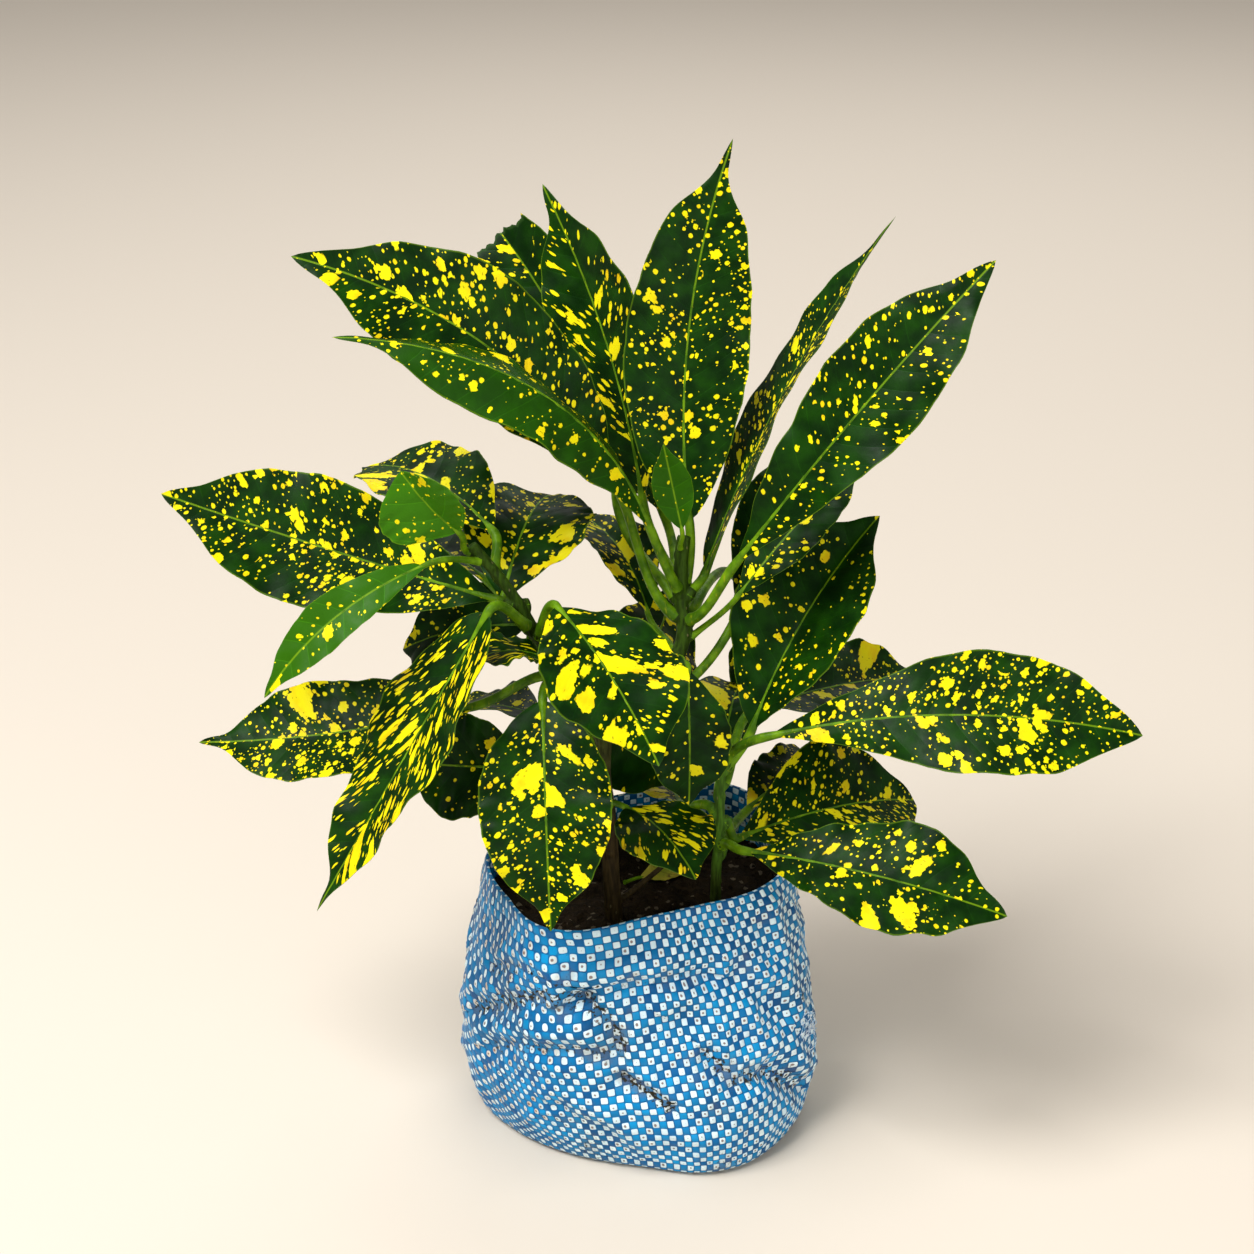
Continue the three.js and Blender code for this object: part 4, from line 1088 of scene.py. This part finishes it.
def soilThing(wall, material):
    # the surface reaches the sack's wall at the soil's level, and the sides go down inside
    x, y, z = wall[:3]
    level = sack["soilLevel"]
    edge = np.array([[np.interp(level, z[:, column], values[:, column]) for values in (x, y)]
                     for column in range(0, x.shape[1], 2)])
    radius = np.hypot(edge[:, 0], edge[:, 1])
    edge *= ((radius - sack["cloth"] - 0.1) / radius)[:, None]
    reach = np.hypot(x, y)
    way = edge / np.hypot(edge[:, 0], edge[:, 1])[:, None]
    points = []
    for height in np.arange(*soil["sides"]):
        near = np.where(np.abs(z - height) < soil["sideSpan"], reach, np.inf).min(axis=0)
        near = np.min([np.roll(near, turn) for turn in range(-6, 7)], axis=0)[::2] - soil["sideGap"]
        points += [(a * r * mm, b * r * mm, height * mm) for (a, b), r in zip(way, near)]
    for ring in range(soil["rings"]):
        share = 1 - ring / soil["rings"]
        points += [(a * share * mm, b * share * mm, soilHeight(a * share, b * share) * mm) for a, b in edge]
    rings = len(points) // len(edge)
    points += [(0, 0, soil["sides"][0] * mm), (0, 0, soilHeight(0, 0) * mm)]
    faces = ringFaces(rings, len(edge)) + endFaces(rings, len(edge))
    return meshThing("soil_visual", points, faces, material)


def soilMaterial():
    material, tree, shader = newMaterial("pottingSoil", Roughness=0.92, SpecularIORLevel=0.12)
    place = objectPlace(tree)
    away, crumb = cellsOf(place, 1.6 * mm)
    tone = crumb.part("X")
    colour = mix(cloudy(place, 6 * mm, 4.0), soil["darkest"], soil["brown"]) * (0.6 + tone * 0.8)
    colour = mix(ramp(tone, 0.955, 0.97) * 0.6, colour, soil["paleCrumb"])
    coat(shader, colour, cloudy(place, 0.8 * mm, 4.0) + away * 0.8, 0.5 * mm)
    return material


sackPiece, wall = sackThing(sackMaterial())
dress(sackPiece, "sack")
print("sack:", len(sackPiece.data.polygons), "faces")

fray = {
    "strands": 46,
    "middle": (-21, 46),  # degrees, height
    "spread": (5, 9),
    "length": (3, 7),
    "thickness": (0.16, 0.05),  # from the root to the end
    "points": 8,
    "seed": 11,
    "colours": ((0.25, 0.50, 0.75), (0.85, 0.88, 0.92)),
}


def frayThing():
    # loose fibres where the tapes have worn through
    draw = random.Random(fray["seed"])
    x, y, z, turned = wall
    points, faces = [], []
    for strand in range(fray["strands"]):
        angle, level = (draw.gauss(middle, spread / 2)
                        for middle, spread in zip(fray["middle"], fray["spread"]))
        off = np.hypot(degreesFrom(angle, turned), z - level)
        row, column = np.unravel_index(np.argmin(off), off.shape)
        start = np.array((x[row, column], y[row, column], z[row, column]))
        outward = np.array((start[0], start[1], 0)) / math.hypot(start[0], start[1])
        side = np.cross(outward, (0, 0, 1)) * draw.uniform(-1, 1) + np.array((0, 0, draw.uniform(-1, 1)))
        side = side / np.linalg.norm(side)
        length = draw.uniform(*fray["length"])
        rise, droop = draw.uniform(0.15, 0.5), draw.uniform(0, 2)
        places = [start - outward * 0.3 + side * length * t
                  + outward * length * rise * math.sin(2.6 * t) - np.array((0, 0, droop * t * t))
                  for t in np.linspace(0, 1, fray["points"])]
        addTube(points, faces, tubeMesh(places, np.linspace(*fray["thickness"], fray["points"]), 5))
    look, tree, shader = newMaterial("frayedTape", Roughness=0.6)
    tone = ramp(cloudy(objectPlace(tree), 2 * mm), 0.4, 0.6)
    feed(tree, shader.inputs["Base Color"], mix(tone, *fray["colours"]))
    return meshThing("sack_fibres_visual", points, faces, look)


fibres = frayThing()
dress(fibres, "sack")

soilLook = soilMaterial()
ground = soilThing(wall, soilLook)
area = sum(face.area for face in ground.data.polygons)
crumbs = {"Amount": soil["crumbs"] / area, "Size": soil["crumbSize"], "Look": soilLook}
soilPiece = grow("soil_visual", crumbTree(), crumbs, start=ground.data)
bpy.data.objects.remove(ground)
dress(soilPiece, "soil")
print("soil:", len(soilPiece.data.polygons), "faces")

# the stems' bark
stemBuild = {
    "sides": 28,
    "voxel": 0.42 * mm,
    "softening": (0.5, 2),  # how much, and how often
    "ridges": 0.28,
    "ridgesRound": 2.2,
    "ridgeLength": 14,
    "scarEvery": 7.5,
    "scarTurn": 2.4,
    "scar": (0.42, 0.9, 1.9),  # its height (mm), how far it reaches up and down, and round
    "dip": (0.30, 0.8, 1.3),  # the hollow below it
    "dipBelow": 1.6,
    "stemRadius": 3,  # for lengths round the stem
    "cushionReach": 1.7,  # in petiole radii, both ways from its foot
    "cushion": ((0, 0.5), (0.12, 1.0), (0.3, 1.3), (0.5, 1.35), (0.7, 1.25), (0.88, 1.1), (1, 0.9)),
}


def barkRelief(height, angle):
    # lengthwise ridges, and a leaf scar every few millimetres up the stem
    every, around = stemBuild["scarEvery"], stemBuild["ridgesRound"]
    spot = Vector((math.cos(angle) * around, math.sin(angle) * around, height / stemBuild["ridgeLength"]))
    total = noise.noise(spot) * stemBuild["ridges"]
    scarHeight, scarUp, scarAround = stemBuild["scar"]
    dipDepth, dipUp, dipAround = stemBuild["dip"]
    number = math.floor(height / every)
    for scar in (number - 1, number, number + 1):
        arc = math.sin((angle - scar * stemBuild["scarTurn"]) / 2) * 2 * stemBuild["stemRadius"]
        rise = height - (scar + 0.5) * every
        total += scarHeight * math.exp(-(rise / scarUp) ** 2 - (arc / scarAround) ** 2)
        rise += stemBuild["dipBelow"]
        total -= dipDepth * math.exp(-(rise / dipUp) ** 2 - (arc / dipAround) ** 2)
    return total


def stemThing(name, parts, material):
    points, faces = [], []
    for part in parts:
        addTube(points, faces, part)
    thing = meshThing(name, points, faces, material)
    remesh = thing.modifiers.new("fuse", "REMESH")
    remesh.mode = "VOXEL"
    remesh.voxel_size = stemBuild["voxel"]
    remesh.use_smooth_shade = True
    smooth = thing.modifiers.new("soften", "SMOOTH")
    smooth.factor, smooth.iterations = stemBuild["softening"]
    bake(thing)
    if not thing.data.materials:
        thing.data.materials.append(material)
    return thing


def barkMaterial(name, levels, shades):
    # the colour goes over from the first shade to the second between the two levels
    material, tree, shader = newMaterial(name, Roughness=0.62, SpecularIORLevel=0.12)
    place = objectPlace(tree)
    rise = place.part("Z") + (cloudy(place, 14 * mm) - 0.5) * (24 * mm)
    colour = mix(ramp(rise, levels[0] * mm, levels[1] * mm), *shades)
    stripe = cloudy(place * (1.0, 1.0, 0.16), 1.3 * mm, 3.0)
    colour = colour * ramp(stripe, 0.3, 0.7, 0.55, 1.45)
    away, pick = cellsOf(place * (1.0, 1.0, 0.5), 1.9 * mm)
    pore = ramp(away, 0.22, 0.12) * (pick.part("X") < 0.3)
    coat(shader, mix(pore * 0.5, colour, (0.24, 0.20, 0.09)), stripe + pore * 0.3, 0.5 * mm)
    return material


def cushion(leaf):
    # the swelling where a petiole leaves its stem
    foot, setsOut = leafFoot(leaf)
    size, reach = leaf["stalk"], stemBuild["cushionReach"]
    bottom = foot - setsOut * size * reach
    places = [bottom + setsOut * size * (2 * reach) * along for along, thick in stemBuild["cushion"]]
    return tubeMesh(places, [size * thick for along, thick in stemBuild["cushion"]], 14)


def stemParts(*names):
    parts = []
    for name in names:
        stem = stems[name]
        radii = np.linspace(*stem["radii"], len(stem["places"]))
        slim = min(1.0, stem["radii"][0] / stemBuild["stemRadius"])  # a thin stem has less relief
        parts.append(tubeMesh(stem["places"], radii, stemBuild["sides"],
                              lambda height, angle: barkRelief(height, angle) * slim))
    return parts + [cushion(leaf) for leaf in leaves if leaf["stem"] in names]


woody = barkMaterial("youngBark", (120, 200), ((0.046, 0.030, 0.010), (0.024, 0.055, 0.002)))
shoot = barkMaterial("greenShoot", (80, 120), ((0.060, 0.065, 0.012), (0.050, 0.125, 0.008)))
for node, names, look, slot in (("main_stem", ("main", "left", "twig"), woody, "stem"),
                                ("right_stem", ("right",), shoot, "green_stem")):
    thing = stemThing(node + "_visual", stemParts(*names), look)
    dress(thing, node)
    print("stem:", thing.name, len(thing.data.polygons), "faces")

# floor, light and camera
studio = {
    "floorSize": 14,
    "floorColour": (0.74, 0.66, 0.56, 1),
    "skyColour": (1.0, 0.97, 0.93, 1),
    "skyStrength": 0.30,
    "lampsFace": (0, 0, 0.2),
    "lamps": (  # name, place, size and power
        ("keyLight", (-0.9, -0.8, 2.0), 1.1, 60),
        ("fillLight", (0.9, -1.7, 0.55), 1.6, 14),
        ("backLight", (0.3, 1.6, 1.6), 1.4, 14),
    ),
    "lens": 80,
    "film": 36,
    "cameraPlace": (-4.9, -949.04, 604.44),
    "cameraAim": (-4.9, 0, 201.6),
}


def addTo(name, data, place, aim):
    thing = bpy.data.objects.new(name, data)
    thing.location = place
    thing.rotation_euler = (aim - thing.location).to_track_quat("-Z", "Y").to_euler()
    bpy.context.scene.collection.objects.link(thing)
    return thing


def stage():
    bpy.ops.mesh.primitive_plane_add(size=studio["floorSize"])
    floor = bpy.context.object
    floor.name = "floor"
    floor.data.materials.append(newMaterial("palePaper", BaseColor=studio["floorColour"], Roughness=0.9)[0])
    world = bpy.data.worlds.new("studio")
    bpy.context.scene.world = world
    world.use_nodes = True
    sky = world.node_tree.nodes["Background"].inputs
    sky["Color"].default_value = studio["skyColour"]
    sky["Strength"].default_value = studio["skyStrength"]
    for name, place, size, power in studio["lamps"]:
        light = bpy.data.lights.new(name, "AREA")
        light.size = size
        light.energy = power
        addTo(name, light, place, Vector(studio["lampsFace"]))


def camera():
    lens = bpy.data.cameras.new("camera")
    lens.lens = studio["lens"]
    lens.sensor_width = studio["film"]
    lens.sensor_fit = "AUTO"
    place, aim = (Vector(studio[name]) * mm for name in ("cameraPlace", "cameraAim"))
    bpy.context.scene.camera = addTo("camera", lens, place, aim)


stage()
camera()
bpy.context.scene.view_settings.view_transform = "Standard"
